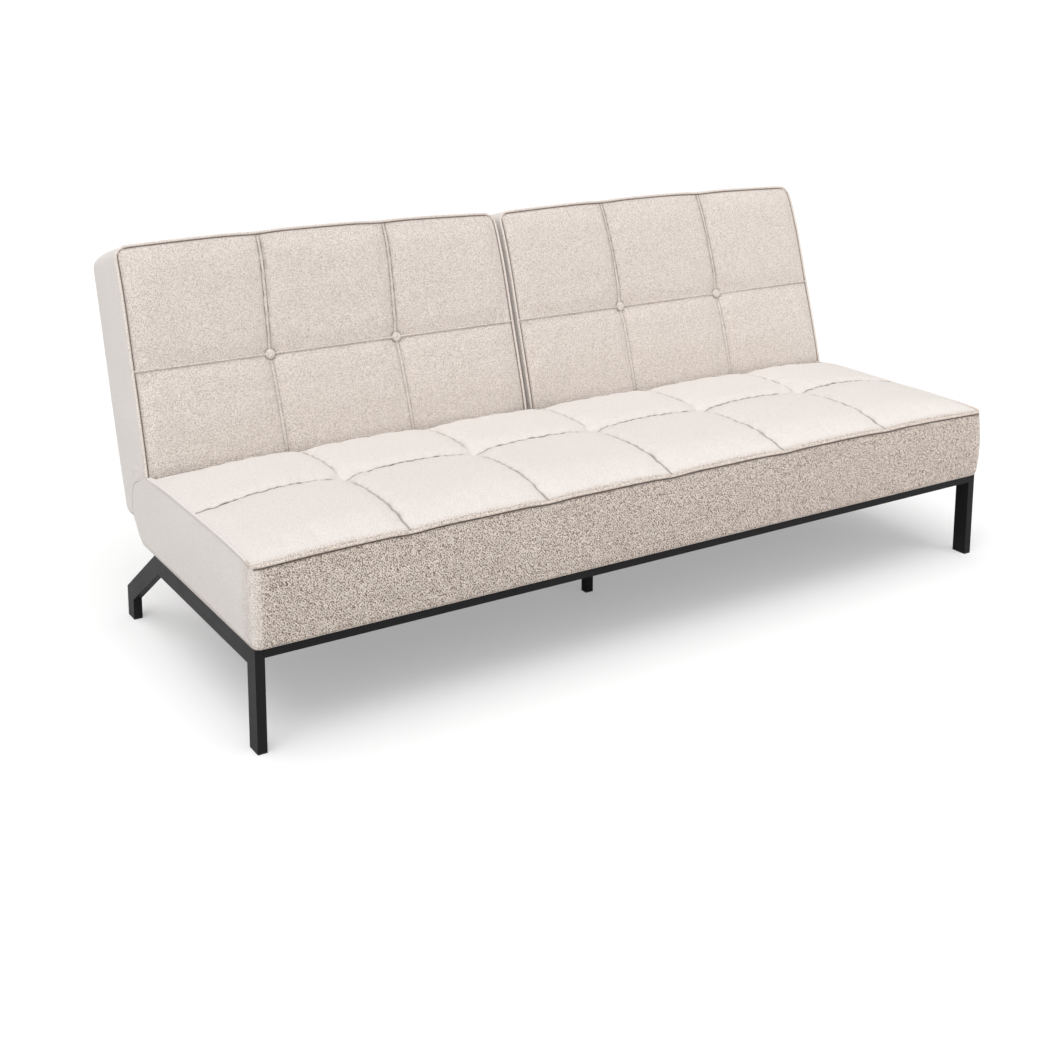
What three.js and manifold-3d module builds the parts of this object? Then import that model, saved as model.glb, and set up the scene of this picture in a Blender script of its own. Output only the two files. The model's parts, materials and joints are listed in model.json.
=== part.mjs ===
// Click clack sofa bed: a black steel base, one long quilted seat and two quilted back halves
// that each recline on a ratchet hinge at the outer end and share a plain hinge at the centre.
// Millimetres, +X to the right, +Y to the back, +Z up, with the floor at zero.
// Sizes are measured from the front faces of the front legs; at the end the whole
// is moved forward so that the origin is under the middle of its box.

import * as THREE from "three";
import { mergeVertices } from "three/addons/utils/BufferGeometryUtils.js";
import Module from "manifold-3d";

const wasm = await Module();
wasm.setup();

// Shared clearances
const fitGap = 0.3; // between pieces that touch
const overrun = 5; // how far a cut runs past the face it opens

// Steel base
const baseWidth = 1970; // outside of the two side frames
const baseTop = 214; // top of the rails, where the seat rests
const tubeNarrow = 20; // rectangular tube, narrow side
const tubeWide = 40; // rectangular tube, wide side
const tubeWall = 2;
const kneeY = 560; // where the side rail turns down into the rear strut
const rearFootY = 755; // centre of the rear foot
const ankleHeight = 60; // where the strut turns into the rear foot
const spigotLength = 40; // stub on a side frame that carries a rail
const rearRailY = 500; // front face of the rear rail
const centreLegY = 311; // front face of the centre leg
const glideLip = 3; // plastic under a foot
const glidePlug = 14; // plastic inside a foot
const screwRadius = 3;
const screwHeadRadius = 6;
const screwHeadHeight = 3;
const screwGrip = 9; // length of the screw above the head
const screwInset = 22; // from the rail's end to the screw
const screwBack = 28; // from the rail's front face to the screw

// Seat
const seatOverhang = 5; // past the base at each end
const seatFront = -10;
const seatRear = 560;
const seatColumns = 6;
const seatMiddleSeamY = 305;
const seatTuftRise = 10; // height above the piping where two seams cross
const seatSeamArch = 17; // how far a seam rises between two tufts
const seatPadRise = 6; // how far a pad rises above its seams
const seatCornerDroop = 14; // piping falls towards the corners
const seatEaseLength = 30; // the pads reach their full swell this far from the front edge
const coverSkin = 12; // cover and wadding on the sides
const seatPadding = 24; // cover and wadding on top
const boardThickness = 22;
const seatBoardHeight = 84;
const seatFoamThickness = 61.3; // it brings the piping to 386 above the floor
const dustCoverThickness = 1.5;
const seatSprings = 4;

// Back halves, in the frame of the hinge: y is to the back, z runs up the face
const pivotY = 636;
const pivotZ = 315;
const leanAngle = THREE.MathUtils.degToRad(17.15); // lean of the back when it is upright
const halfGap = 7; // half of the gap between the two halves
const faceOffset = 71; // from the pivot to the front face
const backThickness = 205;
const faceHeight = 566; // from the pivot up to the top piping
const backColumns = 3;
const backMiddleSeam = 285;
const backTuftRise = -9; // the buttons pull the cover in
const backSeamArch = 18;
const backPadRise = 6;
const backTopCrown = 8; // the top edge is slightly arched
const backCornerDroop = 10;
const backEaseLength = 90; // the pads grow to their full swell over this distance from the lower edge
const backPadding = 21; // cover and wadding in front of the foam
const backInnerSkin = 8; // cover between the two halves
const backEndSkin = 14; // cover and wadding at the outer end
const backRearSkin = 10;
const foamThickness = 72;
const hingeRoom = 30; // the rounded lower end stops this far from the outer end of the back
const centreBay = 30; // half width of the room for the centre hinge
const bayRadius = 78; // room round the pivot
const lowRailHeight = 60; // lower edge of the timber frame, above the pivot
const heelRise = 10; // the lower rear corner of the bolster above the pivot
const backSprings = 2;
const buttonRadius = 12;
const buttonHeight = 9;
const buttonRim = 3; // height of the straight rim under the dome
const buttonSeat = 12; // depth of the button's seat below the face

// Cushion corners and sides
const sideBulge = 5; // sides swell by this at half height
const sideDraw = 4; // and are drawn in by this between the corners
const cornerRound = 9;
const lowerTuckDepth = 7; // the lower edge turns in under the cushion
const droopPower = 6; // how late the droop begins on the way to a corner

// Springs
const wireRadius = 2;
const springHalfWidth = 24;
const springWaves = 6;
const springLead = 12; // straight stretch at each end of a spring
const springDepth = 4; // centre of the wire below the face of the boards

// Hinges
const plateThickness = 4;
const boltRadius = 8;
const boltHeadRadius = 13;
const boltHeadHeight = 2.5;
const boltHeadRoom = 3.4; // between the bolt's head and the end of the bolster
const earRadius = 74; // upholstered ear of the seat that hides the outer hinge
const earFoot = 628; // rear end of the ear's lower edge
const earNeck = 22; // the ear overlaps the seat's end panel by this
const plateFront = 430; // front end of the seat plate
const plateLow = 240;
const plateTopRoom = 4.1; // from the top of the seat's boards down to the hinge plates
const plateEye = 30; // radius round the pivot
const ratchetRoot = 32;
const ratchetTip = 36;
const ratchetTeeth = 6;
const ratchetStart = THREE.MathUtils.degToRad(228);
const ratchetSweep = THREE.MathUtils.degToRad(92);
const pawlY = 598;
const pawlZ = 266;
const pawlBoss = 9;
const pawlStud = 4.5;
const pawlContact = THREE.MathUtils.degToRad(225);
const armLow = 10; // where the arm leaves the round eye
const armFront = 22;
const armKnee = 40;
const armShoulder = 78;
const armTop = 190;
const armWidth = 60;
const armFoot = 26;
const centreEye = 24;
const centreBossRadius = 14;
const centreWebThickness = 12;

// Resolution
const arcSides = 24;
const rodSides = 16;
const wireSides = 4;
const springSteps = 6; // along each wave of a spring
const wavePointCount = 4; // that fix the line of each wave
const buttonRingCount = 4; // up the dome of a button

// Materials, one per finish
const blackSteel = { color: 0x201f20, roughness: 0.5, metalness: 0.3 };
const zincSteel = { color: 0x9c9ea0, roughness: 0.38, metalness: 0.9 };
const blackPlastic = { color: 0x151516, roughness: 0.6, metalness: 0 };
const creamFabric = { color: 0xd9cfc3, roughness: 0.95, metalness: 0 };
const pineWood = { color: 0xc8a878, roughness: 0.75, metalness: 0 };
const whiteFoam = { color: 0xe9e4d2, roughness: 0.95, metalness: 0 };
const blackFelt = { color: 0x242425, roughness: 0.98, metalness: 0 };

const sofa = new THREE.Group();
const leftBack = new THREE.Group();
const rightBack = new THREE.Group();
const sides = [
  { name: "left", sign: -1, back: leftBack },
  { name: "right", sign: 1, back: rightBack },
];

// Adds one named sub-part to a group
function addPart(group, name, shape, finish) {
  const geometry = shape.isBufferGeometry ? shape : toGeometry(shape);
  const mesh = new THREE.Mesh(geometry, new THREE.MeshStandardMaterial(finish));
  mesh.name = name;
  group.add(mesh);
}

// A closed geometry as a solid that can be joined and cut
function toSolid(geometry) {
  const bare = geometry.clone();
  bare.deleteAttribute("normal");
  bare.deleteAttribute("uv");
  const merged = mergeVertices(bare);
  return new wasm.Manifold(
    new wasm.Mesh({
      numProp: 3,
      vertProperties: Float32Array.from(merged.attributes.position.array),
      triVerts: Uint32Array.from(merged.index.array),
    }),
  );
}

function toGeometry(solid) {
  const made = solid.getMesh();
  const geometry = new THREE.BufferGeometry();
  const positions = Float32Array.from(made.vertProperties);
  geometry.setAttribute("position", new THREE.BufferAttribute(positions, made.numProp));
  geometry.setIndex(new THREE.BufferAttribute(Uint32Array.from(made.triVerts), 1));
  geometry.computeVertexNormals();
  return geometry;
}

// A block between two corners, given as spans along x, y and z
function block([x0, x1], [y0, y1], [z0, z1]) {
  const geometry = new THREE.BoxGeometry(Math.abs(x1 - x0), y1 - y0, z1 - z0);
  return geometry.translate((x0 + x1) / 2, (y0 + y1) / 2, (z0 + z1) / 2);
}

// The same for a side: its x span is measured outwards from the middle
function sideSpan(side, inner, outer) {
  return side.sign < 0 ? [-outer, -inner] : [inner, outer];
}

// A side profile, drawn in y and z, stretched across the x span
const acrossTheSofa = new THREE.Matrix4().makeBasis(
  new THREE.Vector3(0, 1, 0),
  new THREE.Vector3(0, 0, 1),
  new THREE.Vector3(1, 0, 0),
);
function plate(profile, [x0, x1]) {
  const settings = { depth: x1 - x0, bevelEnabled: false, curveSegments: arcSides };
  const geometry = new THREE.ExtrudeGeometry(profile, settings);
  return geometry.applyMatrix4(acrossTheSofa).translate(x0, 0, 0);
}

// A round bar across the sofa, with more sides where it is thick
function bar(radius, [x0, x1], y = 0, z = 0) {
  const turned = radius > boltHeadRadius ? arcSides : rodSides;
  const geometry = new THREE.CylinderGeometry(radius, radius, x1 - x0, turned);
  return geometry.rotateZ(-Math.PI / 2).translate((x0 + x1) / 2, y, z);
}

function disc(radius, y = 0, z = 0) {
  return new THREE.Shape().absarc(y, z, radius, 0, 2 * Math.PI, false);
}

// Outline of a tube of the given half depth along a centre line, with mitred corners
function mitredBand(line, half) {
  const near = [];
  const far = [];
  line.forEach((point, i) => {
    const before = line[Math.max(i - 1, 0)];
    const after = line[Math.min(i + 1, line.length - 1)];
    const into = point.clone().sub(before).normalize();
    const out = after.clone().sub(point).normalize();
    const along = into.add(out).normalize();
    const straight = (i === 0 ? after.clone().sub(point) : point.clone().sub(before)).normalize();
    const offset = new THREE.Vector2(-along.y, along.x);
    offset.multiplyScalar(half / along.dot(straight));
    near.push(point.clone().add(offset));
    far.unshift(point.clone().sub(offset));
  });
  return new THREE.Shape([...near, ...far]);
}

// Steel base

const baseSide = baseWidth / 2;
const railEnd = baseSide - tubeNarrow; // inner face of a side frame
const railBottom = baseTop - tubeNarrow;

function legLine(bottom) {
  const railMiddle = baseTop - tubeWide / 2;
  return [
    new THREE.Vector2(tubeWide / 2, bottom),
    new THREE.Vector2(tubeWide / 2, railMiddle),
    new THREE.Vector2(kneeY, railMiddle),
    new THREE.Vector2(rearFootY, ankleHeight),
    new THREE.Vector2(rearFootY, bottom),
  ];
}

// A stub fits inside a rail that lies with its wide side flat
function spigot(side, railY) {
  const skin = tubeWall + fitGap;
  return block(
    sideSpan(side, railEnd - spigotLength, railEnd + tubeWall / 2),
    [railY + skin, railY + tubeWide - skin],
    [railBottom + skin, baseTop - skin],
  );
}

function screwPlace(side, railY) {
  return [side.sign * (railEnd - screwInset), railY + screwBack];
}

function uprightBar(radius, x, y, z0, z1) {
  const geometry = new THREE.CylinderGeometry(radius, radius, z1 - z0, rodSides);
  return geometry.rotateX(Math.PI / 2).translate(x, y, (z0 + z1) / 2);
}

function sideFrame(side) {
  const outer = plate(mitredBand(legLine(glideLip), tubeWide / 2), sideSpan(side, railEnd, baseSide));
  const bore = plate(
    mitredBand(legLine(-overrun), tubeWide / 2 - tubeWall),
    sideSpan(side, railEnd + tubeWall, baseSide - tubeWall),
  );
  let frame = toSolid(outer).subtract(toSolid(bore));
  for (const railY of [0, rearRailY]) {
    const [x, y] = screwPlace(side, railY);
    const hole = uprightBar(screwRadius + fitGap, x, y, railBottom - overrun, baseTop - tubeWall - fitGap);
    frame = frame.add(toSolid(spigot(side, railY)).subtract(toSolid(hole)));
  }
  return frame;
}

function railScrew(side, railY) {
  const [x, y] = screwPlace(side, railY);
  const headTop = railBottom - fitGap;
  const shank = uprightBar(screwRadius, x, y, headTop - screwHeadHeight / 2, headTop + screwGrip);
  const head = uprightBar(screwHeadRadius, x, y, headTop - screwHeadHeight, headTop);
  return toSolid(shank).add(toSolid(head));
}

// A rail across the sofa: an open tube with a screw hole near each end
function crossRail(railY) {
  const span = [-railEnd + fitGap, railEnd - fitGap];
  const outer = block(span, [railY, railY + tubeWide], [railBottom, baseTop]);
  const bore = block(
    [span[0] - overrun, span[1] + overrun],
    [railY + tubeWall, railY + tubeWide - tubeWall],
    [railBottom + tubeWall, baseTop - tubeWall],
  );
  let rail = toSolid(outer).subtract(toSolid(bore));
  for (const side of sides) {
    const [x, y] = screwPlace(side, railY);
    const hole = uprightBar(screwRadius + fitGap, x, y, railBottom - overrun, railBottom + overrun);
    rail = rail.subtract(toSolid(hole));
  }
  return rail;
}

function centreBeam() {
  const span = [tubeWide + fitGap, rearRailY - fitGap];
  const half = tubeWide / 2;
  const outer = block([-half, half], span, [railBottom, baseTop]);
  const bore = block(
    [tubeWall - half, half - tubeWall],
    [span[0] - overrun, span[1] + overrun],
    [railBottom + tubeWall, baseTop - tubeWall],
  );
  return toSolid(outer).subtract(toSolid(bore));
}

function centreLeg() {
  const half = tubeNarrow / 2;
  const span = [centreLegY, centreLegY + tubeNarrow];
  const top = railBottom - fitGap;
  const outer = block([-half, half], span, [glideLip, top]);
  const bore = block(
    [tubeWall - half, half - tubeWall],
    [span[0] + tubeWall, span[1] - tubeWall],
    [glideLip - overrun, top - tubeWall],
  );
  return toSolid(outer).subtract(toSolid(bore));
}

// A plastic glide: a lip as large as the foot and a plug inside the tube
function glide([x0, x1], [y0, y1]) {
  const skin = tubeWall + fitGap;
  const lip = block([x0, x1], [y0, y1], [0, glideLip - fitGap]);
  const plug = block([x0 + skin, x1 - skin], [y0 + skin, y1 - skin], [glideLip / 2, glideLip + glidePlug]);
  return toSolid(lip).add(toSolid(plug));
}

for (const side of sides) {
  const across = sideSpan(side, railEnd, baseSide);
  addPart(sofa, `${side.name}_side_frame`, sideFrame(side), blackSteel);
  addPart(sofa, `${side.name}_front_glide`, glide(across, [0, tubeWide]), blackPlastic);
  const rearSpan = [rearFootY - tubeWide / 2, rearFootY + tubeWide / 2];
  addPart(sofa, `${side.name}_rear_glide`, glide(across, rearSpan), blackPlastic);
  addPart(sofa, `${side.name}_front_rail_screw`, railScrew(side, 0), zincSteel);
  addPart(sofa, `${side.name}_rear_rail_screw`, railScrew(side, rearRailY), zincSteel);
}
addPart(sofa, "front_rail", crossRail(0), blackSteel);
addPart(sofa, "rear_rail", crossRail(rearRailY), blackSteel);
addPart(sofa, "centre_beam", centreBeam(), blackSteel);
addPart(sofa, "centre_leg", centreLeg(), blackSteel);
const legHalf = tubeNarrow / 2;
const centreGlide = glide([-legHalf, legHalf], [centreLegY, centreLegY + tubeNarrow]);
addPart(sofa, "centre_glide", centreGlide, blackPlastic);

// Quilted cushion: a box whose top is divided into pads by seams, drawn with x across,
// y along and the quilted face up. Each pad has four steps, two of them close to its seams.

const padStepShares = [0, 0.13, 0.5, 0.87];
const heightStepShares = [0, 0.12, 0.5, 0.88, 1];

// Positions of the steps between the seams, and which pad and share of it each has
function quiltSteps(seams) {
  const steps = [];
  for (let pad = 0; pad + 1 < seams.length; pad++) {
    const length = seams[pad + 1] - seams[pad];
    for (const share of padStepShares) {
      steps.push({ at: seams[pad] + share * length, share });
    }
  }
  steps.push({ at: seams[seams.length - 1], share: 0 });
  return steps;
}

function evenSeams(start, end, count) {
  return Array.from({ length: count + 1 }, (_, i) => start + ((end - start) * i) / count);
}

// Pads swell like a pillow: steep beside a seam and flat in the middle
const swellPower = 0.55;
function swell(share) {
  return Math.pow(Math.sin(Math.PI * share), swellPower);
}

function quiltedCushion(form) {
  const { columnSeams, rowSeams, bottom, top, droop } = form;
  const columns = quiltSteps(columnSeams);
  const rows = quiltSteps(rowSeams);
  const [across, along] = [columns.length - 1, rows.length - 1];
  const layers = heightStepShares.length - 1;
  const unit = new THREE.BoxGeometry(across, along, layers, across, along, layers);
  unit.translate(across / 2, along / 2, layers / 2);
  const places = unit.attributes.position;
  const middleX = (columnSeams[0] + columnSeams.at(-1)) / 2;
  const middleY = (rowSeams[0] + rowSeams.at(-1)) / 2;
  const halfX = columnSeams.at(-1) - middleX;
  const halfY = rowSeams.at(-1) - middleY;
  for (let v = 0; v < places.count; v++) {
    const i = Math.round(places.getX(v));
    const j = Math.round(places.getY(v));
    const k = Math.round(places.getZ(v));
    const [column, row, rise] = [columns[i], rows[j], heightStepShares[k]];
    const a = (column.at - middleX) / halfX;
    const b = (row.at - middleY) / halfY;
    const edgeX = i === 0 || i === across;
    const edgeY = j === 0 || j === along;
    const droopHere = droop * Math.pow(Math.abs(a * b), droopPower);
    let x = column.at;
    let y = row.at;
    let z = bottom + rise * (top - droopHere - bottom);
    if (k === layers && !edgeX && !edgeY) {
      const ease = Math.min((row.at - rowSeams[0]) / form.ease, 1);
      const inland = (1 - Math.pow(a, droopPower)) * (1 - b * b);
      const [over, up] = [swell(column.share), swell(row.share)];
      const arch = 1 - (1 - over) * (1 - up);
      z += ease * (form.tuftRise * inland + form.seamArch * arch + form.padRise * over * up);
    }
    const belly = Math.sin(Math.PI * rise);
    const tuck = k === 0 ? lowerTuckDepth : 0;
    const round = edgeX && edgeY ? cornerRound : 0;
    const endBulge = b < 0 ? form.nearBulge : form.farBulge;
    if (edgeX) {
      x += Math.sign(a) * (belly * sideBulge - tuck - sideDraw * (1 - b * b) - round);
    }
    if (edgeY) {
      y += Math.sign(b) * (belly * endBulge - tuck - round);
    }
    if (edgeY && b > 0) {
      y += form.arch * (1 - a * a);
    }
    places.setXYZ(v, x, y, z);
  }
  return unit;
}

// Zigzag spring: one wire that swings from side to side on its way along y at the given height,
// with straight ends that meet the boards squarely
function zigzagSpring(x, y0, y1, z) {
  const points = [new THREE.Vector3(x, y0, z), new THREE.Vector3(x, y0 + springLead / 2, z)];
  const swings = wavePointCount * springWaves;
  const length = y1 - y0 - 2 * springLead;
  for (let i = 0; i <= swings; i++) {
    const share = i / swings;
    const swing = Math.sin(2 * Math.PI * springWaves * share);
    points.push(new THREE.Vector3(x + springHalfWidth * swing, y0 + springLead + share * length, z));
  }
  points.push(new THREE.Vector3(x, y1 - springLead / 2, z), new THREE.Vector3(x, y1, z));
  const path = new THREE.CatmullRomCurve3(points);
  const rim = Array.from({ length: wireSides }, (_, i) => {
    const turn = (2 * Math.PI * i) / wireSides;
    return new THREE.Vector2(wireRadius * Math.cos(turn), wireRadius * Math.sin(turn));
  });
  const steps = springSteps * springWaves;
  return new THREE.ExtrudeGeometry(new THREE.Shape(rim), { extrudePath: path, steps });
}

// Seat

const seatHalf = baseSide + seatOverhang;
const bolsterEnd = seatHalf - hingeRoom;
const seatBottom = baseTop + fitGap;
const cavityHalf = seatHalf - coverSkin;
const cavityFront = seatFront + coverSkin;
const cavityRear = seatRear - coverSkin;
const boardLow = seatBottom + dustCoverThickness + fitGap;
const boardHigh = boardLow + seatBoardHeight;
const plateHigh = boardHigh - plateTopRoom;
const cavityTop = boardHigh + seatFoamThickness + 2 * fitGap;
const seatEdgeHeight = cavityTop + seatPadding; // the piping at the middle of the front
const boardFront = cavityFront + fitGap;
const boardRear = cavityRear - fitGap;
const innerFront = boardFront + boardThickness + fitGap;
const innerRear = boardRear - boardThickness - fitGap;
const ratchetInner = bolsterEnd + boltHeadRoom + boltHeadHeight + fitGap; // face of the toothed arm
const seatPlateInner = ratchetInner + plateThickness + fitGap;
const endBoardOuter = seatPlateInner - fitGap;

// The ear goes on from the seat's end panel round the hinge
function seatEar(side) {
  const profile = new THREE.Shape();
  profile.moveTo(seatRear - earNeck, seatBottom);
  profile.lineTo(earFoot, seatBottom);
  profile.lineTo(pivotY, pivotZ - earRadius / 2);
  profile.lineTo(pivotY, pivotZ);
  profile.lineTo(seatRear - earNeck, pivotZ);
  const span = sideSpan(side, cavityHalf, seatHalf);
  return toSolid(plate(profile, span)).add(toSolid(bar(earRadius, span, pivotY, pivotZ)));
}

function seatCover() {
  const form = quiltedCushion({
    columnSeams: evenSeams(-seatHalf, seatHalf, seatColumns),
    rowSeams: [seatFront, seatMiddleSeamY, seatRear],
    bottom: seatBottom,
    top: seatEdgeHeight,
    tuftRise: seatTuftRise,
    seamArch: seatSeamArch,
    padRise: seatPadRise,
    droop: seatCornerDroop,
    ease: seatEaseLength,
    nearBulge: sideBulge,
    farBulge: 0,
    arch: 0,
  });
  const slotSpan = [cavityRear - overrun, seatRear + overrun];
  const slotHeights = [plateLow - fitGap, plateHigh + fitGap];
  const cavity = block(
    [-cavityHalf, cavityHalf],
    [cavityFront, cavityRear],
    [seatBottom - overrun, cavityTop],
  );
  const webHalf = centreWebThickness / 2 + fitGap;
  let cover = toSolid(form).subtract(toSolid(cavity));
  cover = cover.subtract(toSolid(block([-webHalf, webHalf], slotSpan, slotHeights)));
  for (const side of sides) {
    const slot = block(sideSpan(side, seatPlateInner - fitGap, cavityHalf), slotSpan, slotHeights);
    cover = cover.subtract(toSolid(slot)).add(seatEar(side));
  }
  return cover;
}

addPart(sofa, "seat_cover", seatCover(), creamFabric);
const boardHeights = [boardLow, boardHigh];
const longSpan = [-endBoardOuter, endBoardOuter];
const seatFrontBoard = block(longSpan, [boardFront, boardFront + boardThickness], boardHeights);
addPart(sofa, "seat_front_board", seatFrontBoard, pineWood);
const seatRearBoard = block(longSpan, [boardRear - boardThickness, boardRear], boardHeights);
addPart(sofa, "seat_rear_board", seatRearBoard, pineWood);
for (const side of sides) {
  const span = sideSpan(side, endBoardOuter - boardThickness, endBoardOuter);
  addPart(sofa, `seat_${side.name}_board`, block(span, [innerFront, innerRear], boardHeights), pineWood);
}
const centreBoardSpan = [-boardThickness / 2, boardThickness / 2];
const seatCentreBoard = block(centreBoardSpan, [innerFront, innerRear], boardHeights);
addPart(sofa, "seat_centre_board", seatCentreBoard, pineWood);
for (let i = 0; i < seatSprings; i++) {
  const bay = (2 * endBoardOuter) / seatSprings;
  const x = -endBoardOuter + bay * (i + 1 / 2);
  const spring = zigzagSpring(x, innerFront, innerRear, boardHigh - springDepth);
  addPart(sofa, `seat_spring_${i + 1}`, spring, zincSteel);
}
const seatFoam = block(
  [-cavityHalf + fitGap, cavityHalf - fitGap],
  [boardFront, boardRear],
  [boardHigh + fitGap, cavityTop - fitGap],
);
addPart(sofa, "seat_foam", seatFoam, whiteFoam);
const dustCover = block(longSpan, [boardFront, boardRear], [seatBottom, seatBottom + dustCoverThickness]);
addPart(sofa, "seat_dust_cover", dustCover, blackFelt);

// Back halves. Each group stands on the hinge line and leans back,
// so its pieces are drawn with the pivot at the origin.

const backRearFace = backThickness - faceOffset;
const backInner = halfGap; // of the cover, from the middle of the sofa
const backOuter = seatHalf;
const backCavityInner = backInner + backInnerSkin;
const backCavityOuter = backOuter - backEndSkin;
const backCavityFront = backPadding - faceOffset;
const backCavityRear = backRearFace - backRearSkin;
const backCavityTop = faceHeight - coverSkin;
const backCavityBottom = coverSkin;
const bolsterCavity = faceOffset - coverSkin;
const foamFront = backCavityFront + fitGap;
const foamRear = foamFront + foamThickness;
const frameFront = foamRear + fitGap;
const frameRear = backCavityRear - fitGap;
const frameTop = backCavityTop - fitGap;
const outerStileOuter = ratchetInner - fitGap;
const centreArmInner = backCavityInner + fitGap;
const innerStileInner = centreArmInner + plateThickness + fitGap;

for (const side of sides) {
  side.back.position.set(0, pivotY, pivotZ);
  side.back.rotation.x = -leanAngle;
  sofa.add(side.back);
}

// Rounded lower end of the back: round about the pivot, with a straight heel to the rear
function bolsterProfile() {
  const reach = Math.hypot(backRearFace, heelRise);
  const heelTurn = Math.atan2(heelRise, backRearFace) - Math.acos(faceOffset / reach);
  const profile = new THREE.Shape();
  profile.moveTo(backRearFace - sideBulge, heelRise + coverSkin);
  profile.lineTo(-faceOffset, heelRise + coverSkin);
  profile.absarc(0, 0, faceOffset, Math.PI, 2 * Math.PI + heelTurn, false);
  profile.lineTo(backRearFace, heelRise);
  return profile;
}

function buttonPlaces() {
  const seams = evenSeams(backInner, backOuter, backColumns);
  return seams.slice(1, -1);
}

function backCover(side) {
  const seams = evenSeams(backInner, backOuter, backColumns).map((x) => side.sign * x);
  const form = quiltedCushion({
    columnSeams: seams.sort((p, q) => p - q),
    rowSeams: [0, backMiddleSeam, faceHeight],
    bottom: -backRearFace,
    top: faceOffset,
    tuftRise: backTuftRise,
    seamArch: backSeamArch,
    padRise: backPadRise,
    droop: backCornerDroop,
    ease: backEaseLength,
    nearBulge: 0,
    farBulge: sideBulge,
    arch: backTopCrown,
  });
  form.rotateX(Math.PI / 2);
  const bolster = plate(bolsterProfile(), sideSpan(side, centreBay, bolsterEnd));
  const mainCavity = block(
    sideSpan(side, backCavityInner, backCavityOuter),
    [backCavityFront, backCavityRear],
    [backCavityBottom, backCavityTop],
  );
  const bolsterHollow = bar(bolsterCavity, sideSpan(side, centreBay + coverSkin, bolsterEnd - coverSkin));
  const outerBay = bar(bayRadius, sideSpan(side, bolsterEnd, backOuter + sideBulge + overrun));
  const innerBay = bar(bayRadius, sideSpan(side, -overrun, centreBay));
  let cover = toSolid(form).subtract(toSolid(outerBay)).subtract(toSolid(innerBay));
  cover = cover.add(toSolid(bolster)).subtract(toSolid(mainCavity)).subtract(toSolid(bolsterHollow));
  for (const x of buttonPlaces()) {
    cover = cover.subtract(toSolid(buttonHole(side.sign * x)));
  }
  return cover;
}

// Turns a profile about the line through a button, drawn from its back to the front
function turned(profile, x, backY) {
  const geometry = new THREE.LatheGeometry(profile, rodSides);
  return geometry.rotateX(Math.PI).translate(x, backY, backMiddleSeam);
}

function buttonHole(x) {
  const radius = buttonRadius + fitGap;
  const corners = [
    new THREE.Vector2(0, 0),
    new THREE.Vector2(radius, 0),
    new THREE.Vector2(radius, faceOffset),
    new THREE.Vector2(0, faceOffset),
  ];
  return turned(corners, x, buttonSeat + fitGap - faceOffset);
}

// A covered button: a dome on a short straight rim
function coveredButton(x) {
  const outline = [new THREE.Vector2(0, 0), new THREE.Vector2(buttonRadius, 0)];
  for (let i = 0; i < buttonRingCount; i++) {
    const turn = (Math.PI / 2) * (i / buttonRingCount);
    const rise = buttonRim + (buttonHeight - buttonRim) * Math.sin(turn);
    outline.push(new THREE.Vector2(buttonRadius * Math.cos(turn), rise));
  }
  outline.push(new THREE.Vector2(0, buttonHeight));
  return turned(outline, x, buttonSeat - faceOffset);
}

function backFoam(side) {
  const depths = [foamFront, foamRear];
  const wallInner = centreBay + coverSkin + fitGap;
  const wallOuter = bolsterEnd - coverSkin - fitGap;
  const full = sideSpan(side, backCavityInner + fitGap, backCavityOuter - fitGap);
  const narrow = sideSpan(side, wallInner, wallOuter);
  const upper = block(full, depths, [bayRadius + fitGap, frameTop]);
  const lower = block(narrow, depths, [0, bayRadius + overrun]);
  const round = bar(bolsterCavity - fitGap, narrow);
  return toSolid(upper).add(toSolid(lower)).add(toSolid(round));
}

for (const side of sides) {
  const prefix = `${side.name}_back`;
  const depths = [frameFront, frameRear];
  const heights = [lowRailHeight, frameTop];
  const innerStile = sideSpan(side, innerStileInner, innerStileInner + boardThickness);
  const outerStile = sideSpan(side, outerStileOuter - boardThickness, outerStileOuter);
  const between = sideSpan(
    side,
    innerStileInner + boardThickness + fitGap,
    outerStileOuter - boardThickness - fitGap,
  );
  addPart(side.back, `${prefix}_cover`, backCover(side), creamFabric);
  addPart(side.back, `${prefix}_foam`, backFoam(side), whiteFoam);
  addPart(side.back, `${prefix}_inner_stile`, block(innerStile, depths, heights), pineWood);
  addPart(side.back, `${prefix}_outer_stile`, block(outerStile, depths, heights), pineWood);
  const lowRail = block(between, depths, [lowRailHeight, lowRailHeight + boardThickness]);
  addPart(side.back, `${prefix}_lower_rail`, lowRail, pineWood);
  const topRail = block(between, depths, [frameTop - boardThickness, frameTop]);
  addPart(side.back, `${prefix}_upper_rail`, topRail, pineWood);
  for (let i = 0; i < backSprings; i++) {
    const share = (i + 1 / 2) / backSprings;
    const x = between[0] + (between[1] - between[0]) * share;
    const low = lowRailHeight + boardThickness + fitGap;
    const high = frameTop - boardThickness - fitGap;
    const spring = zigzagSpring(x, low, high, -frameFront - springDepth).rotateX(Math.PI / 2);
    addPart(side.back, `${prefix}_spring_${i + 1}`, spring, zincSteel);
  }
  buttonPlaces().forEach((x, i) => {
    addPart(side.back, `${prefix}_button_${i + 1}`, coveredButton(side.sign * x), creamFabric);
  });
}

// Outer hinges: a plate on the seat's end board, a toothed arm on the back and a pawl between them

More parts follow.
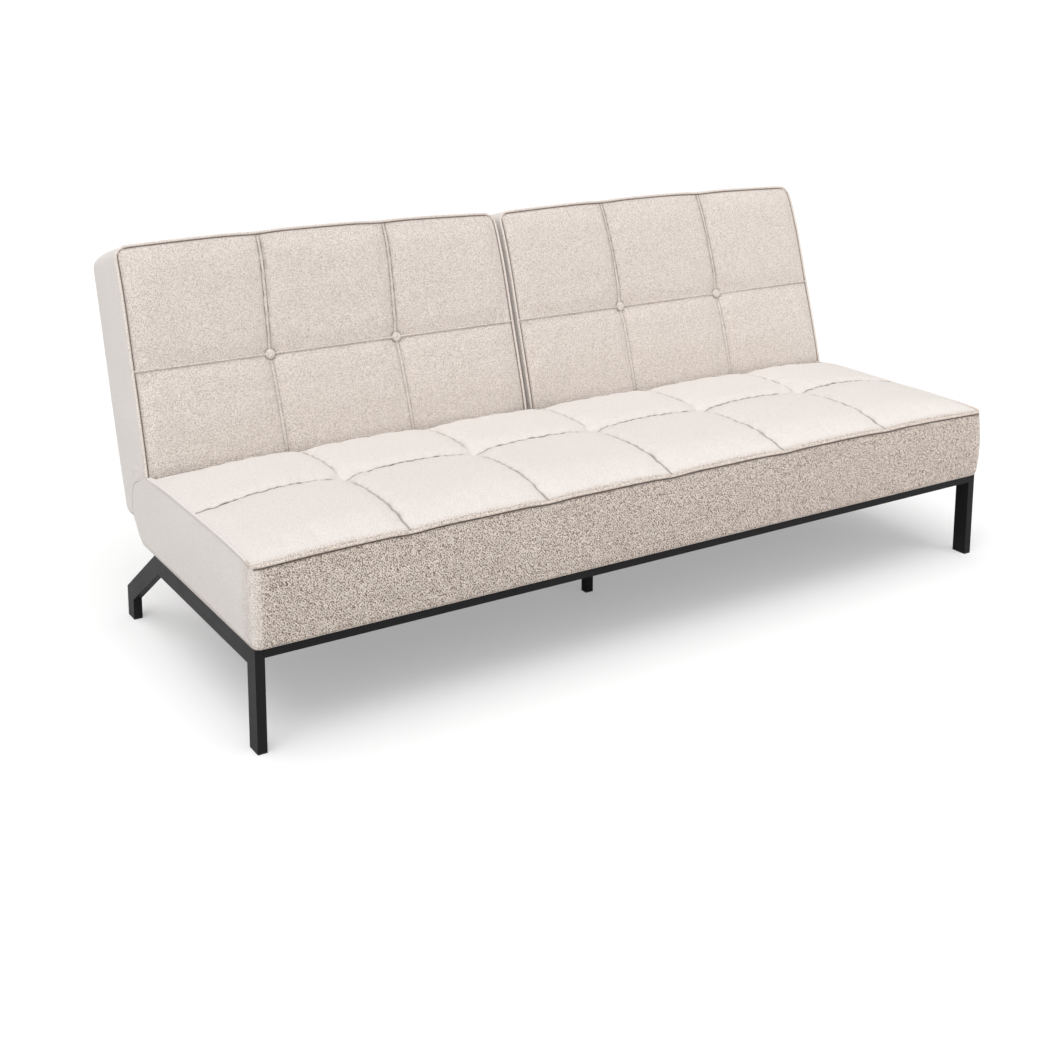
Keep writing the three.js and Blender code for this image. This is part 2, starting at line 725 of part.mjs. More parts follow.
function seatPlate(side) {
  const profile = new THREE.Shape();
  profile.moveTo(plateFront, plateLow);
  profile.lineTo(plateFront, plateHigh);
  profile.lineTo(seatRear, plateHigh);
  profile.lineTo(pivotY - plateEye, pivotZ);
  profile.absarc(pivotY, pivotZ, plateEye, Math.PI, -Math.PI / 2, true);
  profile.lineTo(pivotY, plateLow);
  const span = sideSpan(side, seatPlateInner, seatPlateInner + plateThickness);
  const studSpan = sideSpan(side, ratchetInner, seatPlateInner + plateThickness / 2);
  const body = toSolid(plate(profile, span)).add(toSolid(bar(pawlStud, studSpan, pawlY, pawlZ)));
  return body.subtract(toSolid(bar(boltRadius + fitGap, widened(span), pivotY, pivotZ)));
}

function widened([x0, x1]) {
  return [x0 - overrun, x1 + overrun];
}

// Teeth rise slowly and fall steeply, so that the pawl holds the load
const toothPeakShare = 0.8;
function ratchetProfile() {
  const profile = new THREE.Shape();
  const pitch = ratchetSweep / ratchetTeeth;
  const polar = (radius, turn) => [radius * Math.cos(turn), radius * Math.sin(turn)];
  profile.moveTo(...polar(ratchetRoot, ratchetStart));
  for (let i = 0; i < ratchetTeeth; i++) {
    const start = ratchetStart + i * pitch;
    profile.lineTo(...polar(ratchetTip, start + pitch * toothPeakShare));
    profile.lineTo(...polar(ratchetRoot, start + pitch));
  }
  const end = ratchetStart + ratchetSweep;
  profile.absarc(0, 0, ratchetRoot, end, ratchetStart + 2 * Math.PI, false);
  return profile;
}

function armProfile() {
  return new THREE.Shape([
    new THREE.Vector2(-armFront, armLow),
    new THREE.Vector2(armFoot, armLow),
    new THREE.Vector2(frameFront + armWidth, lowRailHeight),
    new THREE.Vector2(frameFront + armWidth, armTop),
    new THREE.Vector2(frameFront + fitGap, armTop),
    new THREE.Vector2(frameFront + fitGap, armShoulder),
    new THREE.Vector2(-armFront, armKnee),
  ]);
}

function hingeArm(span, eyeProfile) {
  const arm = toSolid(plate(eyeProfile, span)).add(toSolid(plate(armProfile(), span)));
  return arm.subtract(toSolid(bar(boltRadius + fitGap, widened(span))));
}

// A lever from the stud to the rim of the teeth, drawn with its tip just clear of them
function pawl(side) {
  const reach = ratchetTip + fitGap;
  const tipY = pivotY + reach * Math.cos(pawlContact);
  const tipZ = pivotZ + reach * Math.sin(pawlContact);
  const aim = Math.atan2(tipZ - pawlZ, tipY - pawlY);
  const profile = new THREE.Shape();
  profile.absarc(pawlY, pawlZ, pawlBoss, aim + Math.PI / 2, aim + (3 * Math.PI) / 2, false);
  profile.lineTo(tipY, tipZ);
  const span = sideSpan(side, ratchetInner, ratchetInner + plateThickness);
  const hole = bar(pawlStud + fitGap, widened(span), pawlY, pawlZ);
  return toSolid(plate(profile, span)).subtract(toSolid(hole));
}

// A bolt with a flat head at each end of its shank
function bolt([x0, x1], y, z) {
  let solid = toSolid(bar(boltRadius, [x0, x1], y, z));
  for (const span of [[x0, x0 + boltHeadHeight], [x1 - boltHeadHeight, x1]]) {
    solid = solid.add(toSolid(bar(boltHeadRadius, span, y, z)));
  }
  return solid;
}

for (const side of sides) {
  const prefix = `${side.name}_hinge`;
  addPart(sofa, `${prefix}_seat_plate`, seatPlate(side), zincSteel);
  addPart(sofa, `${prefix}_pawl`, pawl(side), zincSteel);
  const boltSpan = sideSpan(
    side,
    ratchetInner - fitGap - boltHeadHeight,
    seatPlateInner + plateThickness + fitGap + boltHeadHeight,
  );
  addPart(sofa, `${prefix}_pivot_bolt`, bolt(boltSpan, pivotY, pivotZ), zincSteel);
  const armSpan = sideSpan(side, ratchetInner, ratchetInner + plateThickness);
  addPart(side.back, `${prefix}_back_arm`, hingeArm(armSpan, ratchetProfile()), zincSteel);
}

// Centre hinge: a bracket on the seat's rear board and a plain arm on each half

function centreBracket() {
  const half = centreWebThickness / 2;
  const profile = new THREE.Shape();
  profile.moveTo(boardRear + fitGap, plateLow);
  profile.lineTo(boardRear + fitGap, plateHigh);
  profile.lineTo(seatRear, plateHigh);
  profile.lineTo(pivotY - centreEye, pivotZ);
  profile.absarc(pivotY, pivotZ, centreEye, Math.PI, -Math.PI / 2, true);
  profile.lineTo(pivotY - centreEye, plateLow);
  const bossHalf = centreArmInner - fitGap;
  const boss = bar(centreBossRadius, [-bossHalf, bossHalf], pivotY, pivotZ);
  const hole = bar(boltRadius + fitGap, widened([-bossHalf, bossHalf]), pivotY, pivotZ);
  return toSolid(plate(profile, [-half, half])).add(toSolid(boss)).subtract(toSolid(hole));
}

addPart(sofa, "centre_hinge_bracket", centreBracket(), zincSteel);
const centreBoltHalf = centreArmInner + plateThickness + fitGap + boltHeadHeight;
addPart(sofa, "centre_hinge_bolt", bolt([-centreBoltHalf, centreBoltHalf], pivotY, pivotZ), zincSteel);
for (const side of sides) {
  const span = sideSpan(side, centreArmInner, centreArmInner + plateThickness);
  addPart(side.back, `${side.name}_centre_hinge_arm`, hingeArm(span, disc(centreEye)), zincSteel);
}

const part = new THREE.Group();
part.add(sofa);
const middle = new THREE.Box3().setFromObject(sofa, true).getCenter(new THREE.Vector3());
sofa.position.y = -middle.y;

export default part;
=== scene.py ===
"""Click clack sofa bed: upholstery, piping, seams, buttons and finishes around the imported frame.

Metres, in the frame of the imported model: +X to the right, +Y to the back, +Z up.
The back halves are drawn in the frame of their hinge: w runs to the back and u up the face.
"""

import json
import math

import bpy
import numpy as np
from bpy.props import FloatProperty, FloatVectorProperty, IntProperty, PointerProperty
from mathutils import Matrix, Vector


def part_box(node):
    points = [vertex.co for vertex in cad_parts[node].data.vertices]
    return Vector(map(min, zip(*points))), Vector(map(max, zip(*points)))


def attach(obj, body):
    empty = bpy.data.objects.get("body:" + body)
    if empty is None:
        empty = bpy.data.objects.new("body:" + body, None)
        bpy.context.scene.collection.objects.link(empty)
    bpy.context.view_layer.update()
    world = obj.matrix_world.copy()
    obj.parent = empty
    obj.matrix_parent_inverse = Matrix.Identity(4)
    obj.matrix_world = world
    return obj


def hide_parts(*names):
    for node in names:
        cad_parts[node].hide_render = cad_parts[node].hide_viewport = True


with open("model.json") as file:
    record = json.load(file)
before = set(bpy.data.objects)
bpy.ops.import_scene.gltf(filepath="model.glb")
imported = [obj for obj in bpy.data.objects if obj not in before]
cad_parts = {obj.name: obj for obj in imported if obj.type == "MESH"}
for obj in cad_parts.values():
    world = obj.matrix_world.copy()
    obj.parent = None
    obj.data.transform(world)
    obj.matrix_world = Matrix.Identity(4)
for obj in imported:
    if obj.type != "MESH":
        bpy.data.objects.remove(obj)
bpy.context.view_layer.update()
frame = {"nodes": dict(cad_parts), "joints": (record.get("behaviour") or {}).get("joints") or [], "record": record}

bl_info = {
    "name": "Click clack sofa bed",
    "version": (1, 0, 0),
    "blender": (4, 5, 0),
    "location": "View3D > Sidebar > Sofa bed",
    "description": "Builds the upholstery and finishes of a click clack sofa bed round its frame",
    "category": "Object",
}

MM = 0.001


def mm(value):
    return value * MM


# What the frame says

SKIN = mm(12.3)  # cover and wadding round the seat's foam
PADDING = mm(24.3)  # the same on top of it
EDGE_LIFT = mm(3)  # how far the front edge stands above the padding
RECLINE = {joint["name"]: joint for joint in frame["joints"]}["left_back_recline"]
PIVOT = Vector((0, *RECLINE["pos_m"][1:]))
LEAN = math.radians(90 - RECLINE["range_deg"][1])  # the back is level at the end of its travel
SEAT_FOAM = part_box("seat_foam")
DUST_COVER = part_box("seat_dust_cover")


def in_hinge_frame(points):
    """Points of the frame as x, w and u about the hinge."""
    y = points[:, 1] - PIVOT.y
    z = points[:, 2] - PIVOT.z
    w = y * math.cos(LEAN) - z * math.sin(LEAN)
    u = y * math.sin(LEAN) + z * math.cos(LEAN)
    return np.stack([points[:, 0], w, u], axis=1)


def from_hinge_frame(points):
    """x, w and u about the hinge as points of the frame."""
    w, u = points[:, 1], points[:, 2]
    y = PIVOT.y + w * math.cos(LEAN) + u * math.sin(LEAN)
    z = PIVOT.z + u * math.cos(LEAN) - w * math.sin(LEAN)
    return np.stack([points[:, 0], y, z], axis=1)


def hinge_box(node):
    """Lowest and highest corner of a node in the frame of the hinge."""
    corners = np.array([v.co for v in frame["nodes"][node].data.vertices])
    turned = in_hinge_frame(corners)
    return turned.min(0), turned.max(0)


BACK_FOAM = hinge_box("right_back_foam")
BACK_STILE = hinge_box("right_back_outer_stile")


# Sizes and colours that a user would change


def length_setting(name, description, default):
    return FloatProperty(name=name, description=description, default=default, unit="LENGTH")


def colour_setting(name, description, default):
    return FloatVectorProperty(
        name=name, description=description, default=default, subtype="COLOR", min=0, max=1)


class SeatSizes(bpy.types.PropertyGroup):
    """Sizes of the seat cushion"""

    half_width: length_setting("Half width", "From the middle to the end panel", SEAT_FOAM[1].x + SKIN)
    front: length_setting("Front", "Front face", SEAT_FOAM[0].y - SKIN)
    rear: length_setting("Rear", "Rear face", SEAT_FOAM[1].y + SKIN)
    bottom: length_setting("Bottom", "Lower edge of the cover", DUST_COVER[0].z)
    edge: length_setting(
        "Edge height", "Height of the piping at the middle of the front",
        SEAT_FOAM[1].z + PADDING + EDGE_LIFT)
    end_seam: length_setting("End seam", "From the middle to the outermost cross seam", mm(652))
    middle_seam: length_setting("Middle seam", "From the front face to the lengthwise seam", mm(315))
    tuft_rise: length_setting("Tuft rise", "Height of the crossings above the piping", mm(10))
    seam_arch: length_setting("Seam arch", "Rise of a seam between two crossings", mm(17))
    pad_rise: length_setting("Pad rise", "Rise of a pad above its seams", mm(3))
    droop: length_setting("Corner droop", "Fall of the piping towards the corners", mm(9))
    corner: length_setting("Corner radius", "Of the front corners, seen from above", mm(20))
    near_ease: length_setting(
        "Front slope", "The pads reach their height this far from the front", mm(105))
    far_ease: length_setting("Rear slope", "The same at the rear", mm(45))
    end_ease: length_setting("End slope", "The same at the ends", mm(230))
    far_edge_drop: length_setting("Rear drop", "How much lower the rear edge is", mm(-5))
    seam_dip: length_setting("Seam dip", "The edge dips this much where a seam ends", mm(2.6))
    rim_groove: length_setting("Groove", "Depth of the groove behind the piping", mm(0.5))
    side_groove: length_setting("Side groove", "Depth of the groove under the piping", mm(2.0))
    swelling: length_setting("Swelling", "How far the simulated filling can push the pads out", mm(7))
    tuft_flat: length_setting("Pinch", "Radius of the pinched spot at a crossing", mm(1))
    tuft_reach: length_setting("Pinch reach", "How far a pinch pulls at the pads", mm(38))


class BackSizes(bpy.types.PropertyGroup):
    """Sizes of a back cushion, in the frame of its hinge"""

    inner: length_setting("Inner end", "From the middle of the sofa to the cushion", mm(7))
    outer: length_setting(
        "Outer end", "From the middle of the sofa to the end panel", SEAT_FOAM[1].x + SKIN)
    face: length_setting("Face", "From the pivot to the front face", SKIN - BACK_FOAM[0][1])
    rear: length_setting("Rear", "From the pivot to the rear panel", BACK_STILE[1][1] + mm(10.3))
    top: length_setting("Top", "From the pivot up to the piping", BACK_FOAM[1][2] + SKIN)
    middle_seam: length_setting(
        "Welt height", "Of the lengthwise welt and the buttons above the pivot", mm(285))
    bay: length_setting("Hinge bay", "Radius of the room round the hinges", mm(78))
    rear_corner: length_setting("Rear corner", "Radius of the edges without piping at the rear", mm(28))
    seam_draw: length_setting(
        "Seam draw", "How far the cross seams lean to the middle at the top", mm(11))
    crown: length_setting("Crown", "How much higher the top edge is in the middle of a half", mm(8))
    top_dip: length_setting("Top dip", "How much lower it is where a seam ends", mm(2.2))
    tuft_rise: length_setting("Tuft depth", "How far a button pulls the face in", mm(-10))
    seam_arch: length_setting("Seam arch", "Rise of a seam between two buttons", mm(9))
    pad_rise: length_setting("Pad rise", "Rise of a pad above its seams", mm(2))
    corner: length_setting("Corner radius", "Of the top corners, seen from the front", mm(26))
    near_ease: length_setting(
        "Lower slope", "The pads reach their swell this far above the lower edge", mm(120))
    far_ease: length_setting("Upper slope", "The same below the top edge", mm(85))
    end_ease: length_setting("End slope", "The same at the ends", mm(70))
    far_edge_drop: length_setting("Top set-back", "How far the top edge lies behind the face", mm(8))
    seam_dip: length_setting("Seam dip", "The edge is drawn in this much where a seam ends", mm(2))
    rim_groove: length_setting("Groove", "Depth of the groove beside the piping", mm(2.2))
    swelling: length_setting("Swelling", "How far the simulated filling can push the pads out", mm(6))
    tuft_flat: length_setting("Button seat", "Radius of the flat seat under a button", mm(12.5))
    tuft_reach: length_setting("Button reach", "How far a button pulls at the pads", mm(38))


class TrimSizes(bpy.types.PropertyGroup):
    """Sizes of the piping, seams and buttons"""

    piping: length_setting("Piping radius", "Of the covered cord round the edges", mm(3.1))
    tape: length_setting("Seam width", "Between the two rows of stitches, with their edges", mm(7.5))
    stitch: length_setting("Stitch length", "Of each stitch that shows", mm(4))
    stitch_gap: length_setting("Stitch gap", "Between two stitches", mm(3.4))
    thread: length_setting("Thread radius", "Of the sewing thread", mm(0.4))
    button: length_setting("Button radius", "Of the covered buttons", mm(12))
    button_height: length_setting("Button height", "From the button's seat to its crown", mm(9))


class Finish(bpy.types.PropertyGroup):
    """Colours of the materials"""

    cloth: colour_setting("Cloth", "Oat coloured upholstery cloth", (0.715, 0.683, 0.657))
    # Fresh cloth: warmer and paler where the loops stand up, which also paints the warm tint of the shaded front
    # faces
    cloth_fresh_and_shaded: colour_setting(
        "Fresh cloth", "The same cloth where nobody sits on it", (0.90, 0.79, 0.71))
    # Painted shade in the seams, under the piping and round the buttons
    painted_seam_shade: colour_setting("Crease", "Deep in the seams", (0.10, 0.07, 0.05))
    # Dark yarn between the loops, also used as painted shade in the low gaps of the weave
    cloth_dark_yarn_and_shade: colour_setting("Dark yarn", "Taupe flecks between the loops", (0.22, 0.145, 0.10))
    cloth_light: colour_setting("Light yarn", "Pale loops", (0.86, 0.82, 0.78))
    steel: colour_setting("Powder coat", "Black paint of the base", (0.0075, 0.007, 0.0075))
    weave_width: length_setting("Weave width", "Distance between two ribs of the weave", mm(4.9))


class StageLook(bpy.types.PropertyGroup):
    """Camera and light"""

    camera_place: FloatVectorProperty(
        name="Camera place", description="Where the photograph is taken from", subtype="TRANSLATION",
        default=(-1.978, -2.963118, 1.447))
    camera_yaw: FloatProperty(
        name="Yaw", description="Turn of the camera to the right", subtype="ANGLE",
        default=math.radians(32.44))
    camera_pitch: FloatProperty(
        name="Pitch", description="How far the camera looks down", subtype="ANGLE",
        default=math.radians(10.48))
    camera_roll: FloatProperty(
        name="Roll", description="Turn about the line of sight", subtype="ANGLE",
        default=math.radians(0.19))
    lens: FloatProperty(name="Lens", description="Focal length in millimetres", default=51.57)
    shift: FloatProperty(name="Shift", description="Vertical shift of the lens", default=-0.25)
    fold_seed: IntProperty(name="Seed", description="Seed of the small folds", default=7)


# Mesh helpers


def add_mesh(name, points, faces, material):
    """A new object from arrays of points and faces, smooth and with one material."""
    mesh = bpy.data.meshes.new(name)
    mesh.from_pydata([tuple(p) for p in points], [], [tuple(int(v) for v in f) for f in faces])
    mesh.validate()
    mesh.polygons.foreach_set("use_smooth", [True] * len(mesh.polygons))
    mesh.materials.append(material)
    made = bpy.data.objects.new(name, mesh)
    bpy.context.scene.collection.objects.link(made)
    return made


def box_lattice(across, along, layers):
    """Surface of a box of cells: the whole-number place of each point, and the quads, facing out."""
    index, quads = {}, []

    def quad(*corners):
        quads.append([index.setdefault(corner, len(index)) for corner in corners])

    for i in range(across):
        for j in range(along):
            quad((i, j, 0), (i, j + 1, 0), (i + 1, j + 1, 0), (i + 1, j, 0))
            quad((i, j, layers), (i + 1, j, layers), (i + 1, j + 1, layers), (i, j + 1, layers))
        for k in range(layers):
            quad((i, 0, k), (i + 1, 0, k), (i + 1, 0, k + 1), (i, 0, k + 1))
            quad((i, along, k), (i, along, k + 1), (i + 1, along, k + 1), (i + 1, along, k))
    for j in range(along):
        for k in range(layers):
            quad((0, j, k), (0, j, k + 1), (0, j + 1, k + 1), (0, j + 1, k))
            quad((across, j, k), (across, j + 1, k), (across, j + 1, k + 1), (across, j, k + 1))
    return np.array(list(index)), np.array(quads)


BESIDE_SEAM = MM * np.array((1.3, 2.6, 4.3, 6.2))  # from a seam to the rows of points next to it
BESIDE_EDGE = MM * np.array((3.0, 4.4, 5.8, 7.6, 10.5))  # the same from an edge with piping
CELL = mm(9.5)  # step between the other rows


def between(start, end, first, last):
    """Places from start to end, without the last, with narrow steps beside both."""
    middle = np.linspace(start + first[-1], end - last[-1], round((end - start) / CELL))
    return np.concatenate([[start], start + first[:-1], middle, end - last[-2::-1]])


def unit(vectors):
    """The same directions, each with length 1."""
    return vectors / np.linalg.norm(vectors, axis=1)[:, None]


def tube_faces(rings, sides, closed=False):
    """Quads between the rings of a tube, and a cap on each end if it is open."""
    faces = []
    for ring in range(rings if closed else rings - 1):
        here, there = ring * sides, (ring + 1) % rings * sides
        for s in range(sides):
            t = (s + 1) % sides
            faces.append((here + s, there + s, there + t, here + t))
    if not closed:
        faces.append(tuple(range(sides)))
        faces.append(tuple((rings - 1) * sides + s for s in reversed(range(sides))))
    return faces


def rings_round(points, aside, up, section):
    """A ring of points round each point of a path, from a section's offsets aside and up."""
    return points[:, None] + aside[:, None] * section[..., :1] + up[:, None] * section[..., 1:]


def swept(points, normals, section, closed=False):
    """Points and faces of a section swept along a path, upright along its normals."""
    if closed:
        tangents = unit(np.roll(points, -1, axis=0) - np.roll(points, 1, axis=0))
    else:
        tangents = unit(np.gradient(points, axis=0))
    up = unit(normals - (normals * tangents).sum(1)[:, None] * tangents)
    rings = rings_round(points, np.cross(tangents, up), up, np.array(section))
    return rings.reshape(-1, 3), tube_faces(len(points), len(section), closed)


def joined(parts):
    """Several (points, faces) pairs as one."""
    points, faces, start = [], [], 0
    for some_points, some_faces in parts:
        points.append(some_points)
        faces.extend(tuple(v + start for v in face) for face in some_faces)
        start += len(some_points)
    return np.concatenate(points), faces


def round_section(radius, sides=10):
    turns = 2 * np.pi * np.arange(sides) / sides
    return np.stack([radius * np.cos(turns), radius * np.sin(turns)], axis=1)


def run_along(points):
    """How far along its path each point is."""
    return np.concatenate([[0], np.cumsum(np.linalg.norm(np.diff(points, axis=0), axis=1))])


def looked_up(at, run, values):
    """The values of a path at other distances along it."""
    return np.stack([np.interp(at, run, values[:, axis]) for axis in range(3)], axis=1)


def resampled(points, step, closed=False):
    """The same path with an even step."""
    if closed:
        points = np.concatenate([points, points[:1]])
    run = run_along(points)
    count = round(run[-1] / step)
    at = np.linspace(0, run[-1], count + 1)[: count if closed else None]
    return looked_up(at, run, points)


WAVES = 5  # how many are added up


def waves(a, b, seed, length, height=1):
    """Smooth uneven waves up to a height over two coordinates, the same at each run."""
    random = np.random.default_rng(seed)
    total = np.zeros_like(a)
    for _ in range(WAVES):
        turn = random.uniform(0, 2 * np.pi)
        size = length * random.uniform(0.6, 1.5)
        phase = random.uniform(0, 2 * np.pi)
        total += np.sin(2 * np.pi * (a * math.cos(turn) + b * math.sin(turn)) / size + phase)
    return height * (total / WAVES)


SWELLING_FRAMES = 20
SWELLING_PRESSURE = 4.0
CLOTH_SLACK = 0.03  # share by which the cloth of a pad is longer than its seams
CLOTH_STEPS = 4
STILL = mm(0.001)  # a point that moves less than this keeps its place


def swollen(points, quads, free, cap):
    """Points after a cloth simulation that blows the free ones out, at most by the cap."""
    used = np.unique(quads)
    index = np.full(len(points), -1)
    index[used] = np.arange(len(used))
    mesh = bpy.data.meshes.new("swelling")
    mesh.from_pydata(points[used].tolist(), [], index[quads].tolist())
    piece = bpy.data.objects.new("swelling", mesh)
    scene = bpy.context.scene
    scene.collection.objects.link(piece)
    held = piece.vertex_groups.new(name="held")
    held.add(np.flatnonzero(~free[used]).tolist(), 1.0, "REPLACE")
    cloth = piece.modifiers.new("swelling", "CLOTH")
    cloth.settings.quality = CLOTH_STEPS
    cloth.settings.vertex_group_mass = held.name
    cloth.settings.use_pressure = True
    cloth.settings.uniform_pressure_force = SWELLING_PRESSURE
    cloth.settings.shrink_min = -CLOTH_SLACK
    cloth.settings.effector_weights.gravity = 0
    cloth.point_cache.frame_end = SWELLING_FRAMES
    for number in range(1, SWELLING_FRAMES + 1):
        scene.frame_set(number)
    shaped = piece.evaluated_get(bpy.context.evaluated_depsgraph_get())
    found = np.empty(len(used) * 3)
    shaped.data.vertices.foreach_get("co", found)
    bpy.data.objects.remove(piece)
    scene.frame_set(1)
    move = found.reshape(-1, 3) - points[used]
    length = np.linalg.norm(move, axis=1)[:, None]
    move = move * cap * np.tanh(length / cap) / np.maximum(length, STILL)
    made = points.copy()
    made[used] += move
    return made


# Quilting, shared by the seat and the back halves

SWELL_POWER = 0.55  # lower makes the pads fuller beside their seams
DROOP_POWER = 6  # higher keeps the droop closer to the corners
LEAN_START = 0.35  # share of the way from the middle to the far edge where it begins to lean
DIP_REACH = mm(38)  # how far beside a seam the edge dips
GROOVE_PLACE, GROOVE_WIDTH = mm(5.8), mm(1.7)  # behind the edge, next to the piping
BACK_DROOP = mm(8)  # how far the corners of a back lie behind its face
SLOPE_STEP = mm(6)  # the slope of a face is measured over this distance to both sides
SEAM_INSET = mm(4)  # from the edges of a face to the ends of its seams
CROSS_POINTS, LENGTH_POINTS = 140, 400  # along each seam


def pad_shares(places, seams):
    """How far along its pad each place is, from 0 at one seam to 1 at the next."""
    seams = np.asarray(seams)
    pad = np.clip(np.searchsorted(seams, places, side="right") - 1, 0, len(seams) - 2)
    return np.clip((places - seams[pad]) / (seams[pad + 1] - seams[pad]), 0, 1)


def swell(share):
    return np.sin(np.pi * share) ** SWELL_POWER


def groove(distance, width):
    return np.exp(-((distance / width) ** 2))


def smooth(value, start, end):
    """From 0 at start to 1 at end, level at both."""
    share = np.clip((value - start) / (end - start), 0, 1)
    return share * share * (3 - 2 * share)


def eased(distance, length):
    """From 0 at an edge to 1 at a length from it, steepest at the edge."""
    return 1 - (1 - np.clip(distance / length, 0, 1)) ** 2


class Quilt:
    """The quilted face of a cushion as a height over x across and y along."""

    def __init__(self, columns, rows, sizes, droop, level):
        self.columns, self.rows, self.sizes = columns, rows, sizes
        self.droop, self.level = droop, level
        self.middle = ((columns[0] + columns[-1]) / 2, (rows[0] + rows[-1]) / 2)
        self.half = ((columns[-1] - columns[0]) / 2, (rows[-1] - rows[0]) / 2)

    def edge(self, x, y):
        a = (x - self.middle[0]) / self.half[0]
        b = (y - self.middle[1]) / self.half[1]
        droop = self.droop * np.abs(np.clip(a * b, -1, 1)) ** DROOP_POWER
        lean = self.sizes.far_edge_drop * np.clip((b - LEAN_START) / (1 - LEAN_START), 0, 1) ** 2
        ends = groove(self.cross_distance(x), DIP_REACH) * b * b
        return self.level - droop - lean - self.sizes.seam_dip * ends

    def cross_distance(self, x):
        return np.min([np.abs(x - seam) for seam in self.columns[1:-1]], axis=0)

    def tuft_distance(self, x, y):
        return np.hypot(self.cross_distance(x), y - self.rows[1])

    def seam_distance(self, x, y):
        return np.minimum(self.cross_distance(x), np.abs(y - self.rows[1]))

    def edge_distance(self, x, y):
        across = self.half[0] - np.abs(x - self.middle[0])
        return np.minimum(across, self.half[1] - np.abs(y - self.middle[1]))

    def height(self, x, y):
        s = self.sizes
        a = np.clip((x - self.middle[0]) / self.half[0], -1, 1)
        b = np.clip((y - self.middle[1]) / self.half[1], -1, 1)
        ease = eased(y - self.rows[0], s.near_ease) * eased(self.rows[-1] - y, s.far_ease)
        ease = ease * eased(self.half[0] * (1 - np.abs(a)), s.end_ease)
        inland = (1 - a**DROOP_POWER) * (1 - b * b)
        over, up = swell(pad_shares(x, self.columns)), swell(pad_shares(y, self.rows))
        arch = 1 - (1 - over) * (1 - up)
        # Nothing rises on the flat spot at a crossing, and from there the pads rise steepest
        pinch = smooth(self.tuft_distance(x, y), s.tuft_flat - s.tuft_reach, s.tuft_flat + s.tuft_reach)
        pinch = 2 * np.clip(pinch - 0.5, 0, 1)
        rise = s.tuft_rise * inland + (s.seam_arch * arch + s.pad_rise * over * up) * pinch
        return self.edge(x, y) + ease * rise - s.rim_groove * self.rim(x, y)

    def rim(self, x, y):
        """The groove between the face and its piping, from 0 to 1."""
        return groove(self.edge_distance(x, y) - GROOVE_PLACE, GROOVE_WIDTH)

    def normals(self, x, y):
        step = SLOPE_STEP
        dx = (self.height(x + step, y) - self.height(x - step, y)) / (2 * step)
        dy = (self.height(x, y + step) - self.height(x, y - step)) / (2 * step)
        return unit(np.stack([-dx, -dy, np.ones_like(dx)], axis=1))

    def seam_lines(self):
        """Cross seams and the lengthwise seam: their kind, and the x and y of their points."""
        y = np.linspace(self.rows[0] + SEAM_INSET, self.rows[-1] - SEAM_INSET, CROSS_POINTS)
        lines = [("cross", np.full_like(y, x), y) for x in self.columns[1:-1]]
        x = np.linspace(self.columns[0] + SEAM_INSET, self.columns[-1] - SEAM_INSET, LENGTH_POINTS)
        return [*lines, ("length", x, np.full_like(x, self.rows[1]))]


def seat_quilt(sizes):
    """Six columns of pads in two rows."""
    inner = sizes.end_seam / 2
    half = sizes.half_width
    columns = [-half, -sizes.end_seam, -inner, 0, inner, sizes.end_seam, half]
    rows = [sizes.front, sizes.front + sizes.middle_seam, sizes.rear]
    return Quilt(columns, rows, sizes, sizes.droop, sizes.edge)


def back_quilt(sizes, sign):
    """Three columns in two rows, on the left with sign -1 or on the right with 1."""
    step = (sizes.outer - sizes.inner) / 3
    columns = sorted(sign * (sizes.inner + step * i) for i in range(4))
    rows = [0, sizes.middle_seam, sizes.top]
    return Quilt(columns, rows, sizes, BACK_DROOP, sizes.face)


# Materials


def add_node(tree, kind, inputs=None, **settings):
    """A node with its settings, and with values or links on its inputs."""
    made = tree.nodes.new(kind)
    for key, value in settings.items():
        setattr(made, key, value)
    for socket, value in (inputs or {}).items():
        if isinstance(value, bpy.types.NodeSocket):
            tree.links.new(value, made.inputs[socket])
        else:
            made.inputs[socket].default_value = value
    return made


def maths(tree, operation, *values):
    return add_node(tree, "ShaderNodeMath", dict(enumerate(values)), operation=operation).outputs[0]


MIX_FACTOR, MIX_ONE, MIX_TWO, MIX_RESULT = 0, 6, 7, 2  # sockets of the mix node for colours


def mixed(tree, factor, one, two):
    inputs = {MIX_FACTOR: factor, MIX_ONE: one, MIX_TWO: two}
    return add_node(tree, "ShaderNodeMix", inputs, data_type="RGBA").outputs[MIX_RESULT]


def new_group(name, inputs, outputs):
    """A node group with its sockets, and the sockets inside it that give and take values."""
    group = bpy.data.node_groups.new(name, "ShaderNodeTree")
    for label, kind, default in inputs:
        socket = group.interface.new_socket(label, in_out="INPUT", socket_type=kind)
        socket.default_value = default
    for label, kind in outputs:
        group.interface.new_socket(label, in_out="OUTPUT", socket_type=kind)
    return group, group.nodes.new("NodeGroupInput").outputs, group.nodes.new("NodeGroupOutput").inputs


FLOAT = "NodeSocketFloat"

# The weave, in units of its width
RIB_WANDER = 4.0  # radians by which the ribs stray from straight lines
RIB_DIRECTION = (0.75, 0.75, 0.75)
CROSS_DIRECTION = (1.0, -0.9, -0.35)
CROSS_SHARE = 0.5  # height of the cross ribs, as a share of the ribs
LOOP_SCALE, LOOP_HEIGHT = 2.9, 5.5
CLUMP_SCALE, CLUMP_HEIGHT = 1.5, 2.8
LOOP_LEVEL = -3.95  # brings the mean height of loops and clumps just above the gaps
FLECK_SCALE = 1.5


